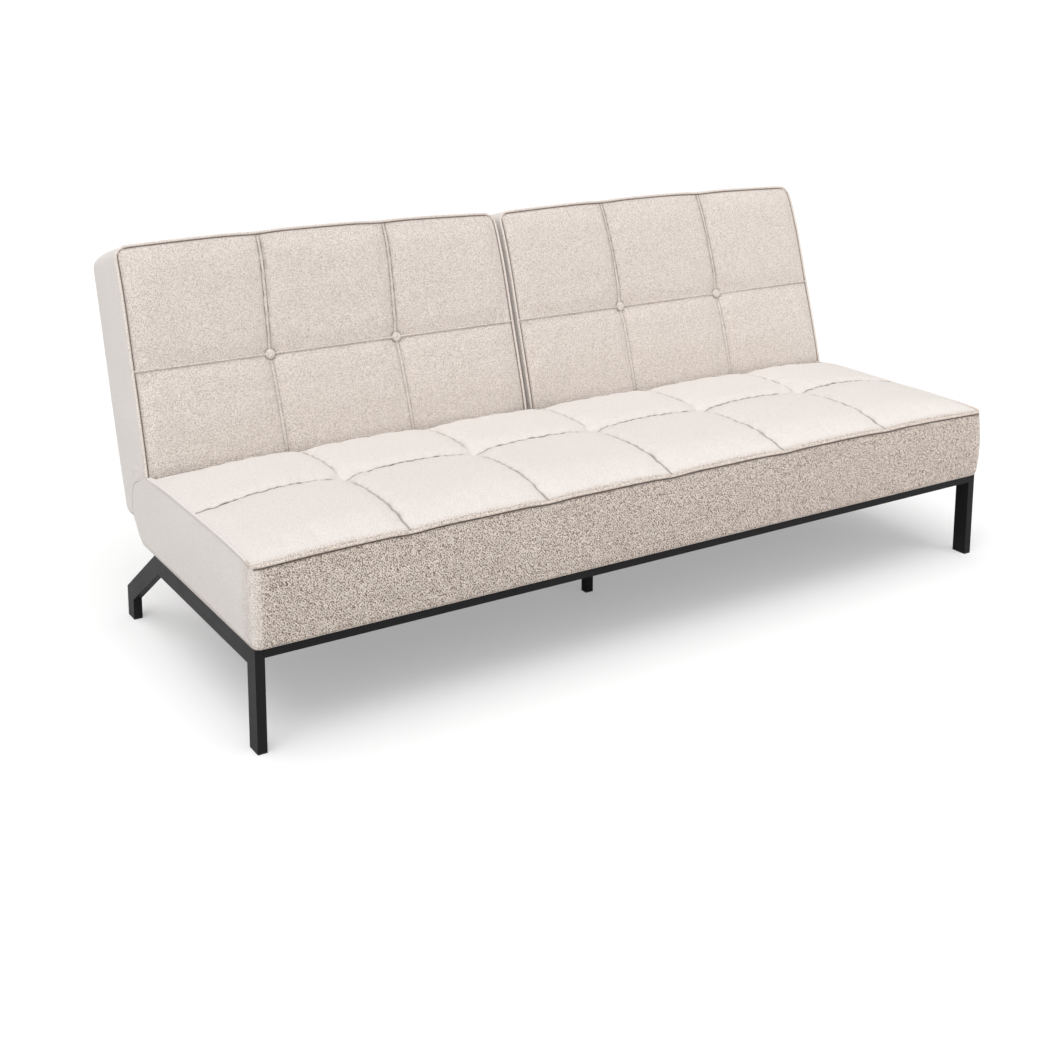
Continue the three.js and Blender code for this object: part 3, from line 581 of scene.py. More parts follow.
def weave_group():
    """Ribbed bouclé weave: slanting ribs broken up into loops, with flecks of other yarn."""
    group, given, out = new_group(
        "boucle_weave",
        [("Width", FLOAT, 0.0044), ("Rib", FLOAT, 0.5), ("Loops", FLOAT, 1.0), ("Fleck", FLOAT, 0.5)],
        [("Height", FLOAT), ("Fleck", FLOAT), ("Gap", FLOAT)],
    )
    place = add_node(group, "ShaderNodeTexCoord").outputs["Object"]
    count = maths(group, "DIVIDE", 1.0, given["Width"])
    scaled = add_node(group, "ShaderNodeVectorMath", {0: place, "Scale": count}, operation="SCALE")
    scaled = scaled.outputs[0]

    def noise(scale, detail=0.0):
        inputs = {"Vector": scaled, "Scale": scale, "Detail": detail}
        return add_node(group, "ShaderNodeTexNoise", inputs).outputs[0]

    shift = maths(group, "MULTIPLY", noise(0.3, 1.0), RIB_WANDER)

    def ribs(direction):
        inputs = {0: scaled, 1: direction}
        along = add_node(group, "ShaderNodeVectorMath", inputs, operation="DOT_PRODUCT")
        turn = maths(group, "MULTIPLY_ADD", along.outputs["Value"], 2 * math.pi, shift)
        return maths(group, "SINE", turn)

    beads = maths(group, "MULTIPLY_ADD", ribs(CROSS_DIRECTION), CROSS_SHARE, ribs(RIB_DIRECTION))
    clump = maths(group, "MULTIPLY_ADD", noise(CLUMP_SCALE), CLUMP_HEIGHT, LOOP_LEVEL)
    loop = maths(group, "MULTIPLY_ADD", noise(LOOP_SCALE), LOOP_HEIGHT, clump)
    loop = maths(group, "MULTIPLY", loop, given["Loops"])
    height = maths(group, "MULTIPLY_ADD", beads, given["Rib"], loop)
    group.links.new(maths(group, "MULTIPLY_ADD", height, 0.3, 0.5), out["Height"])
    inputs = {"Vector": scaled, "Scale": FLECK_SCALE, "Randomness": 1.0}
    cells = add_node(group, "ShaderNodeTexVoronoi", inputs)
    tone = add_node(group, "ShaderNodeSeparateColor", {0: cells.outputs["Color"]}).outputs[0]
    tone = maths(group, "MULTIPLY_ADD", tone, 2.0, -1.0)
    group.links.new(maths(group, "MULTIPLY", tone, given["Fleck"]), out["Fleck"])
    # Gap is how far the weave lies low, which the cloth darkens as painted shade
    clamp = add_node(group, "ShaderNodeClamp", {0: maths(group, "MULTIPLY", height, -1.0)})
    group.links.new(clamp.outputs[0], out["Gap"])
    return group


def patina_group():
    """Large soft patches, for the slight unevenness that any big surface has."""
    group, given, out = new_group(
        "soft_patches",
        [("Size", FLOAT, 0.2), ("Detail", FLOAT, 3.0)],
        [("Patch", FLOAT), ("Grain", FLOAT)],
    )
    place = add_node(group, "ShaderNodeTexCoord").outputs["Object"]
    count = maths(group, "DIVIDE", 1.0, given["Size"])
    large = add_node(
        group, "ShaderNodeTexNoise", {"Vector": place, "Scale": count, "Detail": given["Detail"]})
    group.links.new(large.outputs[0], out["Patch"])
    small = add_node(
        group, "ShaderNodeTexNoise",
        {"Vector": place, "Scale": maths(group, "MULTIPLY", count, 90.0), "Detail": 2.0})
    group.links.new(small.outputs[0], out["Grain"])
    return group


def new_material(name, roughness, metallic=0.0, **constants):
    """A material, its node tree and its shader with constants on the sockets named."""
    material = bpy.data.materials.new(name)
    material.use_nodes = True
    tree = material.node_tree
    shader = tree.nodes["Principled BSDF"]
    shader.inputs["Roughness"].default_value = roughness
    shader.inputs["Metallic"].default_value = metallic
    for key, value in constants.items():
        shader.inputs[key.replace("_", " ")].default_value = value
    return material, tree, shader


def rgba(colour):
    return (*colour, 1.0)


def place_group(tree, group, **values):
    made = add_node(tree, "ShaderNodeGroup", node_tree=group)
    for key, value in values.items():
        made.inputs[key].default_value = value
    return made.outputs


def bumped(tree, shader, height, strength, distance):
    bump = add_node(
        tree, "ShaderNodeBump", {"Height": height, "Strength": strength, "Distance": distance})
    tree.links.new(bump.outputs[0], shader.inputs["Normal"])


def cloth_material(name, finish, groups, rib=0.9, loops=3.3, fleck=0.25, depth=0.0008, dark=1.0):
    """Oat bouclé cloth. Its points give painted shade in the seams, and where its loops are flat: partly real
    wear, partly painted light that leaves lit faces paler and smoother.
    """
    material, tree, shader = new_material(
        name, 0.92, Sheen_Weight=0.1, Sheen_Roughness=0.6, Specular_IOR_Level=0.2)
    weave = place_group(
        tree, groups["weave"], Width=finish.weave_width, Rib=rib, Loops=loops, Fleck=fleck)
    patch = place_group(tree, groups["patina"], Size=0.22)
    # 1 where the loops are flat: partly real wear, partly painted light that makes lit faces paler with less grain
    wear_and_light = add_node(tree, "ShaderNodeAttribute", attribute_name="wear_and_light").outputs["Fac"]
    fresh_pile_and_shade = maths(tree, "MULTIPLY_ADD", wear_and_light, -1.0, 1.0)
    deep, pale = (rgba(c * tone for c in finish.cloth) for tone in (0.97, 1.025))
    base = mixed(tree, patch["Patch"], deep, pale)
    base = mixed(tree, fresh_pile_and_shade, base, rgba(finish.cloth_fresh_and_shaded))
    light = add_node(tree, "ShaderNodeClamp", {0: weave["Fleck"]}).outputs[0]
    colour = mixed(tree, maths(tree, "MULTIPLY", light, fresh_pile_and_shade), base, rgba(finish.cloth_light))
    # Painted shade in the low gaps of the weave, in the dark yarn's colour
    gap = maths(tree, "MULTIPLY", maths(tree, "MULTIPLY", weave["Gap"], dark), fresh_pile_and_shade)
    colour = mixed(tree, gap, colour, rgba(finish.cloth_dark_yarn_and_shade))
    # Painted shade in the seams and under the piping, darkest where the points' seam shade value is 1
    seam = add_node(tree, "ShaderNodeAttribute", attribute_name="painted_seam_shade").outputs["Fac"]
    seam = add_node(tree, "ShaderNodeClamp", {0: seam}).outputs[0]
    colour = mixed(tree, seam, colour, rgba(finish.painted_seam_shade))
    tree.links.new(colour, shader.inputs["Base Color"])
    bumped(tree, shader, maths(tree, "MULTIPLY", weave["Height"], fresh_pile_and_shade), 1.0, depth)
    return material


def painted_steel(name, finish, groups):
    """Black powder coat with a fine orange peel and slightly dusty patches."""
    material, tree, shader = new_material(name, 0.42, Specular_IOR_Level=0.14)
    patch = place_group(tree, groups["patina"], Size=0.09)
    dusty = rgba(c * 1.4 + 0.002 for c in finish.steel)
    tree.links.new(mixed(tree, patch["Patch"], rgba(finish.steel), dusty), shader.inputs["Base Color"])
    rough = maths(tree, "MULTIPLY_ADD", patch["Patch"], 0.16, 0.36)
    tree.links.new(rough, shader.inputs["Roughness"])
    bumped(tree, shader, patch["Grain"], 0.25, 0.0004)
    return material


def simple_finish(name, groups, one, two, roughness, metallic=0.0, size=0.05, bump=0.2):
    """A finish of two close colours in patches, with a fine grain."""
    material, tree, shader = new_material(name, roughness, metallic)
    patch = place_group(tree, groups["patina"], Size=size)
    tree.links.new(mixed(tree, patch["Patch"], rgba(one), rgba(two)), shader.inputs["Base Color"])
    bumped(tree, shader, patch["Grain"], bump, 0.0005)
    return material


def timber(name, groups):
    """Planed pine: long rings stretched along the board."""
    material, tree, shader = new_material(name, 0.7)
    place = add_node(tree, "ShaderNodeTexCoord").outputs["Object"]
    turned = add_node(tree, "ShaderNodeMapping", {"Vector": place, "Scale": (1.5, 14.0, 14.0)})
    inputs = {"Vector": turned.outputs[0], "Scale": 2.0, "Distortion": 6.0, "Detail": 3.0}
    rings = add_node(tree, "ShaderNodeTexWave", inputs, wave_type="RINGS")
    patch = place_group(tree, groups["patina"], Size=0.12)
    colour = mixed(tree, rings.outputs["Fac"], (0.62, 0.42, 0.22, 1.0), (0.76, 0.58, 0.35, 1.0))
    patch = maths(tree, "MULTIPLY", patch["Patch"], 0.35)
    colour = mixed(tree, patch, colour, (0.5, 0.33, 0.17, 1.0))
    tree.links.new(colour, shader.inputs["Base Color"])
    bumped(tree, shader, rings.outputs["Fac"], 0.2, 0.0004)
    return material


class SOFA_OT_finishes(bpy.types.Operator):
    """Make the materials and give every part of the frame its own"""

    bl_idname = "sofa.finishes"
    bl_label = "Finishes"

    def execute(self, context):
        finish = context.scene.sofa_finish
        groups = {"weave": weave_group(), "patina": patina_group()}
        cloth_material("cushion_cloth", finish, groups)
        cloth_material("back_cloth", finish, groups, rib=0.5, dark=0.75)
        cloth_material("piping_cloth", finish, groups, rib=0.6, fleck=0.2, depth=0.0005, dark=0.6)
        made = {
            "black_steel": painted_steel("powder_coated_steel", finish, groups),
            "zinc_steel": simple_finish(
                "zinc_plated_steel", groups, (0.52, 0.53, 0.55), (0.64, 0.64, 0.62), 0.36, 0.95,
                size=0.02),
            "black_plastic": simple_finish(
                "black_moulded_plastic", groups, (0.012, 0.012, 0.013), (0.02, 0.02, 0.02), 0.6,
                bump=0.35),
            "pine_wood": timber("planed_pine", groups),
            "white_foam": simple_finish(
                "cut_foam", groups, (0.80, 0.76, 0.62), (0.85, 0.82, 0.70), 0.95, size=0.02, bump=1.0),
            "black_felt": simple_finish(
                "spunbond_cover", groups, (0.014, 0.014, 0.015), (0.022, 0.022, 0.022), 0.95,
                size=0.01, bump=1.0),
            "cream_fabric": bpy.data.materials["cushion_cloth"],
        }
        simple_finish(
            "oat_thread", groups, (0.62, 0.54, 0.48), (0.70, 0.62, 0.55), 0.8, size=0.004, bump=0.4)
        slots = {row["node"]: row["material_slot"] for row in frame["record"]["subparts"]}
        for name, part in frame["nodes"].items():
            part.data.materials.clear()
            part.data.materials.append(made[slots[name]])
        return {"FINISHED"}


# Seat


FOLD_REACH = mm(35)  # how far from a seam its small folds fade
EDGE_TUCK = mm(2)  # how far the edges of a panel lie back
DRAWN_IN = mm(3)  # how far the seat's ends are drawn in between their corners
FRONT_BELLY, END_BELLY = mm(6), mm(5)  # how far the middle of a panel stands out
HINGE_FLAT, HINGE_FREE = mm(95), mm(190)  # the ends are flat this near the pivot, and full past that
SIDE_GROOVE_PLACE, SIDE_GROOVE_WIDTH = mm(5.2), mm(1.9)  # under the edge, next to the piping
TURN_IN = mm(5)  # how far the lower edge is turned in
UNDER_GAP = mm(0.8)  # from the dust cover up to the cover's lower side
HEM = mm(2)  # that much more of the lower side is raised round it
# Length and height of the waves in the cloth
TOP_WAVES, TOP_FOLDS = (mm(260), mm(1.0)), (mm(60), mm(0.9))
END_WAVES, FRONT_WAVES, FRONT_FOLDS = (mm(170), mm(1.1)), (mm(210), mm(1.3)), (mm(60), mm(0.5))
SIDE_RISES = (0, 0.03, *np.linspace(0.09, 0.89, 14))  # rows up the sides, as shares of their height


def rounded_off(p, q, p_start, q_start):
    """Moves points that are past both starts from the corner of a square onto its circle."""
    dp, dq = p - p_start, q - q_start
    inside = (dp > 0) & (dq > 0)
    length = np.hypot(dp, dq)
    scale = np.where(inside, np.maximum(dp, dq) / np.where(length > 0, length, 1), 1)
    return np.where(inside, p_start + dp * scale, p), np.where(inside, q_start + dq * scale, q)


EAR_THICKNESS = mm(12)
EAR_RADIUS = mm(74)
EAR_START = mm(60)  # the end panel begins to run out into the ear this far before the seat's rear
EAR_FOOT = mm(6)  # how far behind the pivot its outline starts
EAR_RIM = mm(2.5)  # how much smaller its outer edge is
EAR_ROW = mm(0.4)  # between the last row of the top and the first of the ear
EAR_TURN, EAR_SWEEP = math.radians(-62), math.radians(175)  # where its arc starts, and how far it goes
EAR_NECK = 0.12  # share of the outline that climbs to the arc


def ear_outline(sizes, share):
    """Rear outline of the seat's end panel, from the lower edge round the hinge to the top."""
    low_y, low_z = PIVOT.y + EAR_FOOT, sizes.bottom
    climb = np.clip(share / EAR_NECK, 0, 1)
    turn = EAR_TURN + EAR_SWEEP * np.clip((share - EAR_NECK) / (1 - EAR_NECK), 0, 1)
    y = low_y + (PIVOT.y + EAR_RADIUS * np.cos(turn) - low_y) * climb
    z = low_z + (PIVOT.z + EAR_RADIUS * np.sin(turn) - low_z) * climb
    return y, z


def seat_shape(sizes, seed):
    """Points and quads of the seat cushion, and where each is on its lattice."""
    quilt = seat_quilt(sizes)
    half = sizes.half_width
    neck = half - EAR_THICKNESS
    ends = np.array([half, *(half - BESIDE_EDGE), neck + EAR_ROW])
    stops = [-neck, *quilt.columns[1:-1], neck]
    inner = [between(a, b, BESIDE_SEAM, BESIDE_SEAM) for a, b in zip(stops, stops[1:])]
    xs = np.concatenate([-ends, *inner, [neck], ends[::-1]])
    front, middle, rear = quilt.rows
    ys = np.concatenate([
        between(front, middle, BESIDE_EDGE, BESIDE_SEAM),
        between(middle, rear, BESIDE_SEAM, BESIDE_EDGE),
        [rear],
    ])
    under_piping = BESIDE_EDGE / (sizes.edge - sizes.bottom)
    rises = np.array([*SIDE_RISES, *(1 - under_piping[::-1]), 1])
    places, quads = box_lattice(len(xs) - 1, len(ys) - 1, len(rises) - 1)
    i, j, k = places.T
    x, y, rise = xs[i], ys[j], rises[k]
    top = k == len(rises) - 1
    edge_x = (i == 0) | (i == len(xs) - 1)
    edge_y = (j == 0) | (j == len(ys) - 1)
    lying_back = np.where(top | (k == 0), EDGE_TUCK, 0)
    b = (y - quilt.middle[1]) / quilt.half[1]
    belly = np.sin(np.pi * rise)
    z_edge = quilt.edge(x, y)
    z = sizes.bottom + rise * (z_edge - sizes.bottom)
    inner_top = top & ~edge_x & ~edge_y
    z = np.where(inner_top, quilt.height(x, y), z)
    # Small folds: the face is never quite smooth, and less so beside the seams
    near = np.exp(-quilt.seam_distance(x, y) / FOLD_REACH)
    folds = waves(x, y, seed, *TOP_WAVES) + near * waves(x, y, seed + 1, *TOP_FOLDS)
    z = z + np.where(inner_top, folds, 0)
    # The ends swell at half height and are drawn in, but stay flat where the backs slide over them
    hinge_away = np.hypot(y - PIVOT.y, z - PIVOT.z)
    free = smooth(hinge_away, HINGE_FLAT, HINGE_FREE)
    end_out = belly * (END_BELLY + waves(y, z, seed + 2, *END_WAVES))
    out_x = free * (end_out - DRAWN_IN * (1 - b * b)) - lying_back
    x = np.where(edge_x, x + np.sign(x) * out_x, x)
    # The front swells too, with long waves and upright folds
    front_folds = waves(x, z, seed + 3, *FRONT_WAVES) + waves(x, z * 0.3, seed + 4, *FRONT_FOLDS)
    front_out = belly * (FRONT_BELLY + front_folds) - lying_back
    side_rim = groove(z_edge - z - SIDE_GROOVE_PLACE, SIDE_GROOVE_WIDTH) * (edge_x | edge_y) * ~top
    y = np.where(j == 0, y - front_out + sizes.side_groove * side_rim, y)
    tuck = np.where(k == 0, TURN_IN, 0)
    x = x - np.sign(x) * np.where(edge_x, tuck, 0)
    y = y + np.where(j == 0, tuck, 0)
    far, near_y = rounded_off(np.abs(x), -y, half - sizes.corner, -front - sizes.corner)
    x, y = np.sign(x) * far, -near_y
    # The end panels run on round the hinges
    ear_y, ear_z = ear_outline(sizes, rise)
    ease = np.clip((ys[j] - (rear - EAR_START)) / EAR_START, 0, 1)
    rim = np.where(edge_x, EAR_RIM, 0)
    closer = 1 - rim / np.hypot(ear_y - PIVOT.y, ear_z - PIVOT.z)
    ear_y = PIVOT.y + (ear_y - PIVOT.y) * closer
    ear_z = PIVOT.z + (ear_z - PIVOT.z) * closer
    outer = np.abs(xs[i]) > neck + EAR_ROW / 2
    y = np.where(outer, y + ease * (ear_y - y), y)
    z = np.where(outer, z + ease**2 * (ear_z - z), z)
    # Underneath, the cover is turned in and stapled, and the dust cover closes the rest
    low, high = DUST_COVER
    under = (k == 0) & (np.abs(x) < high.x + HEM) & (y > low.y - HEM) & (y < high.y + HEM)
    z = np.where(under, high.z + UNDER_GAP, z)
    lattice = {
        "top": top, "inner_top": inner_top, "end": edge_x, "front": j == 0, "side_rim": side_rim}
    return np.stack([x, y, z], axis=1), quads, quilt, lattice


def mark(piece, name, values):
    """Keeps a value for each point, or one for all, which the cloth's material reads."""
    attribute = piece.data.attributes.new(name, "FLOAT", "POINT")
    values = np.broadcast_to(values, len(piece.data.vertices))
    attribute.data.foreach_set("value", values.astype(np.float32))


def smooth_surface(piece):
    modifier = piece.modifiers.new("fine_surface", "SUBSURF")
    modifier.levels = modifier.render_levels = 1


HELD_EDGE, HELD_SEAM = mm(2.5), mm(1)  # the cloth is held this near to edges and seams
HELD_CROSSING, HELD_BUTTON = mm(2), mm(16)  # and this near to crossings and buttons
EDGE_SWELL = (mm(3), mm(45))  # from an edge, the swelling starts at the first and is full at the second
SEAM_SWELL = (mm(4), mm(32))  # the same from a seam of a back
SEAM_LEAST = 0.25  # share of the swelling that is left at a seam of a back
LOW_STILL = mm(85)  # a back doesn't swell below this height


def swollen_face(points, quads, quilt, face, held, cap, low=None):
    """The points of a cushion with its quilted face swollen between the seams."""
    x = points[:, 0]
    y = points[:, 1 if low is None else 2]
    edge, seam = quilt.edge_distance(x, y), quilt.seam_distance(x, y)
    free = face & (edge > HELD_EDGE) & (seam > HELD_SEAM) & (quilt.tuft_distance(x, y) > held)
    made = swollen(points, quads[face[quads].all(axis=1)], free, cap)
    share = smooth(edge, *EDGE_SWELL)
    if low is not None:
        share = np.minimum(smooth(y, low, 2 * low), share)
        share = share * (SEAM_LEAST + (1 - SEAM_LEAST) * smooth(seam, *SEAM_SWELL))
    return points + (made - points) * share[:, None]


SEAM_MARK, CROSS_MARK = mm(2.6), mm(2.8)  # widths of the painted shade lines in the seams
CROSSING_FADE = (mm(5), mm(70))  # away from a crossing, the painted shade lines start and are full at these
TOP_WEAR_AND_LIGHT, END_WEAR_AND_LIGHT = (mm(3), mm(15)), (mm(20), mm(60))  # from the front, the same for the flattened loops, partly real wear and partly painted light
CORD_WEAR_AND_LIGHT = (mm(10), mm(60))
CORNER_WORN = mm(30)  # width of the strip at the front corners where the loops are rubbed flat
BREAKS = mm(31)  # the painted shade lines are lighter and darker at about this distance


class SOFA_OT_seat(bpy.types.Operator):
    """Build the quilted seat cushion"""

    bl_idname = "sofa.seat"
    bl_label = "Seat cushion"

    def execute(self, context):
        sizes = context.scene.sofa_seat
        points, quads, quilt, lattice = seat_shape(sizes, context.scene.sofa_stage.fold_seed)
        points = swollen_face(
            points, quads, quilt, lattice["top"], HELD_CROSSING, sizes.swelling)
        cushion = add_mesh("seat_cushion", points, quads, bpy.data.materials["cushion_cloth"])
        x, y = points[:, 0], points[:, 1]
        # The seam shade is painted shade, 1 where a line is as dark as it gets; wear and light is 1 where the
        # loops are flat, partly real wear and partly painted light
        # Painted shade lines along the seams, fading near the crossings and darker towards the front
        away = smooth(quilt.tuft_distance(x, y), *CROSSING_FADE)
        broken = 0.8 + waves(x, y, 61, BREAKS, 0.15)
        line = (0.6 + 0.6 * away) * broken * groove(y - quilt.rows[1], SEAM_MARK)
        towards_front = smooth(-y, -quilt.rows[1], -quilt.rows[0])
        cross = (0.4 + 0.3 * towards_front) * away * groove(quilt.cross_distance(x), CROSS_MARK)
        painted_seam_shade = np.maximum(line, cross) * lattice["inner_top"]
        # Painted shadow under the piping, strongest along the front
        under_piping = lattice["side_rim"] * np.where(lattice["front"], 1.1, 0.15)
        mark(cushion, "painted_seam_shade", np.maximum(painted_seam_shade, under_piping))
        from_front = y - quilt.rows[0]
        # Painted light with real wear: the lit top and ends are paler and smoother, the shaded front keeps warm
        # grainy loops except at its rubbed corners
        wear_and_light = np.where(lattice["top"], 0.84 * smooth(from_front, *TOP_WEAR_AND_LIGHT), 0.85)
        corner = 0.6 * smooth(np.abs(x), sizes.half_width - CORNER_WORN, sizes.half_width)
        wear_and_light = np.where(lattice["front"], corner, wear_and_light)
        wear_and_light = np.where(lattice["end"], 0.6 + 0.25 * smooth(from_front, *END_WEAR_AND_LIGHT), wear_and_light)
        mark(cushion, "wear_and_light", wear_and_light)
        smooth_surface(cushion)
        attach(cushion, "root")
        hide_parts("seat_cover")
        return {"FINISHED"}


PIPING_INSET = mm(1.4)  # from the edges of a cushion to the middle of the cord
PIPING_STEP = mm(14)
PIPING_ENDS = mm(1)  # a point this near to an end of the seat follows it
PIPING_SINK = mm(0.4)  # how far the middle of the cord lies below the edge
PIPING_LOW = mm(44)  # the cord of a back starts and ends this far above the pivot
SEAT_CORD_WAVES, BACK_CORD_WAVES = (mm(190), mm(0.8)), (mm(170), mm(0.7))
CORNER_TURNS = np.linspace(0, np.pi / 2, 12)


def seat_piping_path(sizes, quilt):
    """Closed path of the piping round the seat's top edge, with rounded front corners."""
    half, rear = sizes.half_width - PIPING_INSET, sizes.rear - PIPING_INSET
    front, radius = sizes.front + PIPING_INSET, sizes.corner
    corner_x = half - radius + radius * np.sin(CORNER_TURNS)
    corner_y = front + radius - radius * np.cos(CORNER_TURNS)
    line = [
        (0, front), *zip(corner_x, corner_y), (half, rear), (-half, rear),
        *zip(-corner_x[::-1], corner_y[::-1])]
    path = resampled(np.array([(x, y, 0) for x, y in line]), PIPING_STEP, closed=True)
    along = np.abs(path[:, 0]) > half - PIPING_ENDS
    b = (path[:, 1] - quilt.middle[1]) / quilt.half[1]
    path[:, 0] -= np.where(along, np.sign(path[:, 0]) * DRAWN_IN * (1 - b * b), 0)
    path[:, 2] = quilt.edge(path[:, 0], path[:, 1]) - PIPING_SINK
    path[:, 2] += waves(path[:, 0], path[:, 1], 31, *SEAT_CORD_WAVES)
    return path


# Back halves


INNER_BAY, OUTER_BAY = mm(23), mm(30)  # depth of the hinge bays at the ends of a half
BAY_ROW = mm(0.5)  # between the last row of a bay and the first beside it
WAIST = mm(90)  # rows under this height bend round the hinge
LOW_ROWS = 10
DEPTH_ROWS, FIRST_DEPTH = 20, 0.025  # rows from rear to front, and the share where they start
BACK_BELLY, TOP_BELLY, REAR_BULGE = mm(4), mm(4), mm(6)  # of the ends, the top and the rear panel
LOW_START, LOW_STOP = mm(60), mm(190)  # the outer end is flat below the first and full above the second
LOW_OUT = mm(0.5)  # how far it stands out where it is flat
# The gathered folds of the outer end
PUCKER = mm(46)  # height of the spot that they run out from
PUCKER_DEPTH, PUCKER_REACH, PUCKER_SPOT = mm(3.2), mm(75), mm(14)
PUCKER_RAYS = 9  # their number in a full turn
PUCKER_BENDS = (mm(120), 2.5)  # length of the waves that they stray in, and by how much
PUCKER_FADE = (mm(2), mm(40))  # they rise between these heights
# Length and height of the waves in the cloth
FACE_WAVES, FACE_FOLDS = (mm(240), mm(1.1)), (mm(55), mm(0.9))
SIDE_WAVES, REAR_WAVES = (mm(150), mm(0.8)), (mm(240), mm(1.5))


def back_shape(sizes, sign, seed):
    """Points and quads of a back cushion in x, w and u, and where each is on its lattice."""
    quilt = back_quilt(sizes, sign)
    lo, hi = quilt.columns[0], quilt.columns[-1]
    lo_bay = lo + (INNER_BAY if sign > 0 else OUTER_BAY)
    hi_bay = hi - (OUTER_BAY if sign > 0 else INNER_BAY)
    stops = [lo_bay, *quilt.columns[1:-1], hi_bay]
    xs = np.concatenate([
        [lo, *(lo + BESIDE_EDGE), lo_bay - BAY_ROW],
        *(between(a, b, BESIDE_SEAM, BESIDE_SEAM) for a, b in zip(stops, stops[1:])),
        [hi_bay, hi_bay + BAY_ROW, *(hi - BESIDE_EDGE[::-1]), hi],
    ])
    us = np.concatenate([
        np.linspace(0, WAIST, LOW_ROWS, endpoint=False),
        between(WAIST, quilt.rows[1], BESIDE_SEAM, BESIDE_SEAM),
        between(quilt.rows[1], sizes.top, BESIDE_SEAM, BESIDE_EDGE),
        [sizes.top],
    ])
    depths = np.array([0, *np.linspace(FIRST_DEPTH, 1 - FIRST_DEPTH, DEPTH_ROWS), 1])
    places, quads = box_lattice(len(xs) - 1, len(us) - 1, len(depths) - 1)
    i, j, k = places.T
    x, row_u, share = xs[i], us[j], depths[k]
    u = row_u
    front, rear = k == len(depths) - 1, k == 0
    edge_x = (i == 0) | (i == len(xs) - 1)
    edge_u = j == len(us) - 1
    lying_back = np.where(front | rear, EDGE_TUCK, 0)
    a = (x - quilt.middle[0]) / quilt.half[0]
    w = sizes.rear + share * (-quilt.edge(x, u) - sizes.rear)
    inner_face = front & ~edge_x & ~edge_u & (j > 0)
    near = np.exp(-quilt.seam_distance(x, u) / FOLD_REACH)
    folds = waves(x, u, seed, *FACE_WAVES) + near * waves(x, u, seed + 1, *FACE_FOLDS)
    height = quilt.height(x, u) + folds * np.clip((u - WAIST) / WAIST, 0, 1)
    w = np.where(inner_face, -height, w)
    # The ends swell, but near the hinge the outer one is flat and gathered in shallow folds
    belly = np.sin(np.pi * share)
    side = belly * (BACK_BELLY + waves(w, u, seed + 2, *SIDE_WAVES)) - lying_back
    outer_end = edge_x & (sign * xs[i] > sizes.inner + quilt.half[0])
    low_end = 1 - smooth(row_u, LOW_START, LOW_STOP)
    pinch_w, pinch_u = w + sizes.face, u - PUCKER
    spread, away = np.arctan2(pinch_u, pinch_w), np.hypot(pinch_w, pinch_u)
    fading = np.exp(-away / PUCKER_REACH) * smooth(away, 0, PUCKER_SPOT)
    rays = PUCKER_RAYS * spread + waves(w, u, seed + 9, *PUCKER_BENDS)
    rays = (0.5 + 0.5 * np.sin(rays)) * fading * smooth(row_u, *PUCKER_FADE)
    low_side = side * (1 - low_end) + low_end * LOW_OUT + PUCKER_DEPTH * rays
    side = np.where(outer_end, low_side, side)
    x = np.where(edge_x, x + np.sign(a) * side, x)
    u = np.where(edge_u, u + belly * TOP_BELLY - lying_back, u)
    # Round the edges without piping at the rear, and the top corners
    far = np.abs(x - quilt.middle[0])
    far, w = rounded_off(far, w, quilt.half[0] - sizes.rear_corner, sizes.rear - sizes.rear_corner)
    u, w = rounded_off(u, w, sizes.top - sizes.rear_corner, sizes.rear - sizes.rear_corner)
    u = u + crowned(quilt, x, row_u)
    far, u = rounded_off(far, u, quilt.half[0] - sizes.corner, sizes.top - sizes.corner)
    x = quilt.middle[0] + np.sign(a) * far
    x = x + seam_shift(quilt, x, row_u)
    # The rear panel bulges a little
    bulge = (1 - a * a) * np.sin(np.pi * np.clip(row_u / sizes.top, 0, 1))
    w = np.where(rear, w + REAR_BULGE * bulge + waves(x, u, seed + 5, *REAR_WAVES), w)
    # The rows below the waist bend round the hinge
    bay = (xs[i] < lo_bay - BAY_ROW / 2) | (xs[i] > hi_bay + BAY_ROW / 2)
    low_w, low_u = np.where(outer_end, lapped_end(sizes, share), lower_end(sizes, share, bay))
    bend = np.clip(1 - row_u / WAIST, 0, 1)
    straight = sizes.rear + share * (-sizes.face - sizes.rear)
    w = np.where(row_u < WAIST, w + bend * (low_w - straight), w)
    u = np.where(row_u < WAIST, low_u + (WAIST - low_u) * (row_u / WAIST), u)
    lattice = {"inner_face": inner_face, "front": front, "rear": rear, "end": edge_x | edge_u}
    return np.stack([x, w, u], axis=1), quads, quilt, lattice


BUTTON_STRAIGHT = mm(10)  # the seams are straight this far above and below a button
LOW_LEAN = 0.4  # how much they lean at the lower end, as a share of the upper
DIP_WIDTH, CROWN_REACH = mm(45), mm(120)  # of the top edge: how wide it dips, how far down it is felt


def seam_shift(quilt, x, u):
    """How far the cross seams lean towards the middle of the sofa above and below the buttons."""
    across = np.sin(np.pi * np.clip((x - quilt.columns[0]) / (2 * quilt.half[0]), 0, 1))
    above = smooth(u, quilt.rows[1] + BUTTON_STRAIGHT, quilt.rows[2])
    below = smooth(-u, BUTTON_STRAIGHT - quilt.rows[1], 0)
    lean = -np.sign(quilt.middle[0]) * quilt.sizes.seam_draw
    return lean * across * (above + LOW_LEAN * below)


def crowned(quilt, x, u):
    """How much the top edge rises towards the middle of a half, with a dip at each seam."""
    top = quilt.rows[-1]
    a = np.clip((x - quilt.middle[0]) / quilt.half[0], -1, 1)
    dip = quilt.sizes.top_dip * groove(quilt.cross_distance(x), DIP_WIDTH)
    return (quilt.sizes.crown * (1 - a * a) - dip) * smooth(u, top - CROWN_REACH, top)


HEEL = mm(10)  # height of the rear lower edge above the pivot
HEEL_SHARE = 0.32  # share of the lower end that is the straight heel


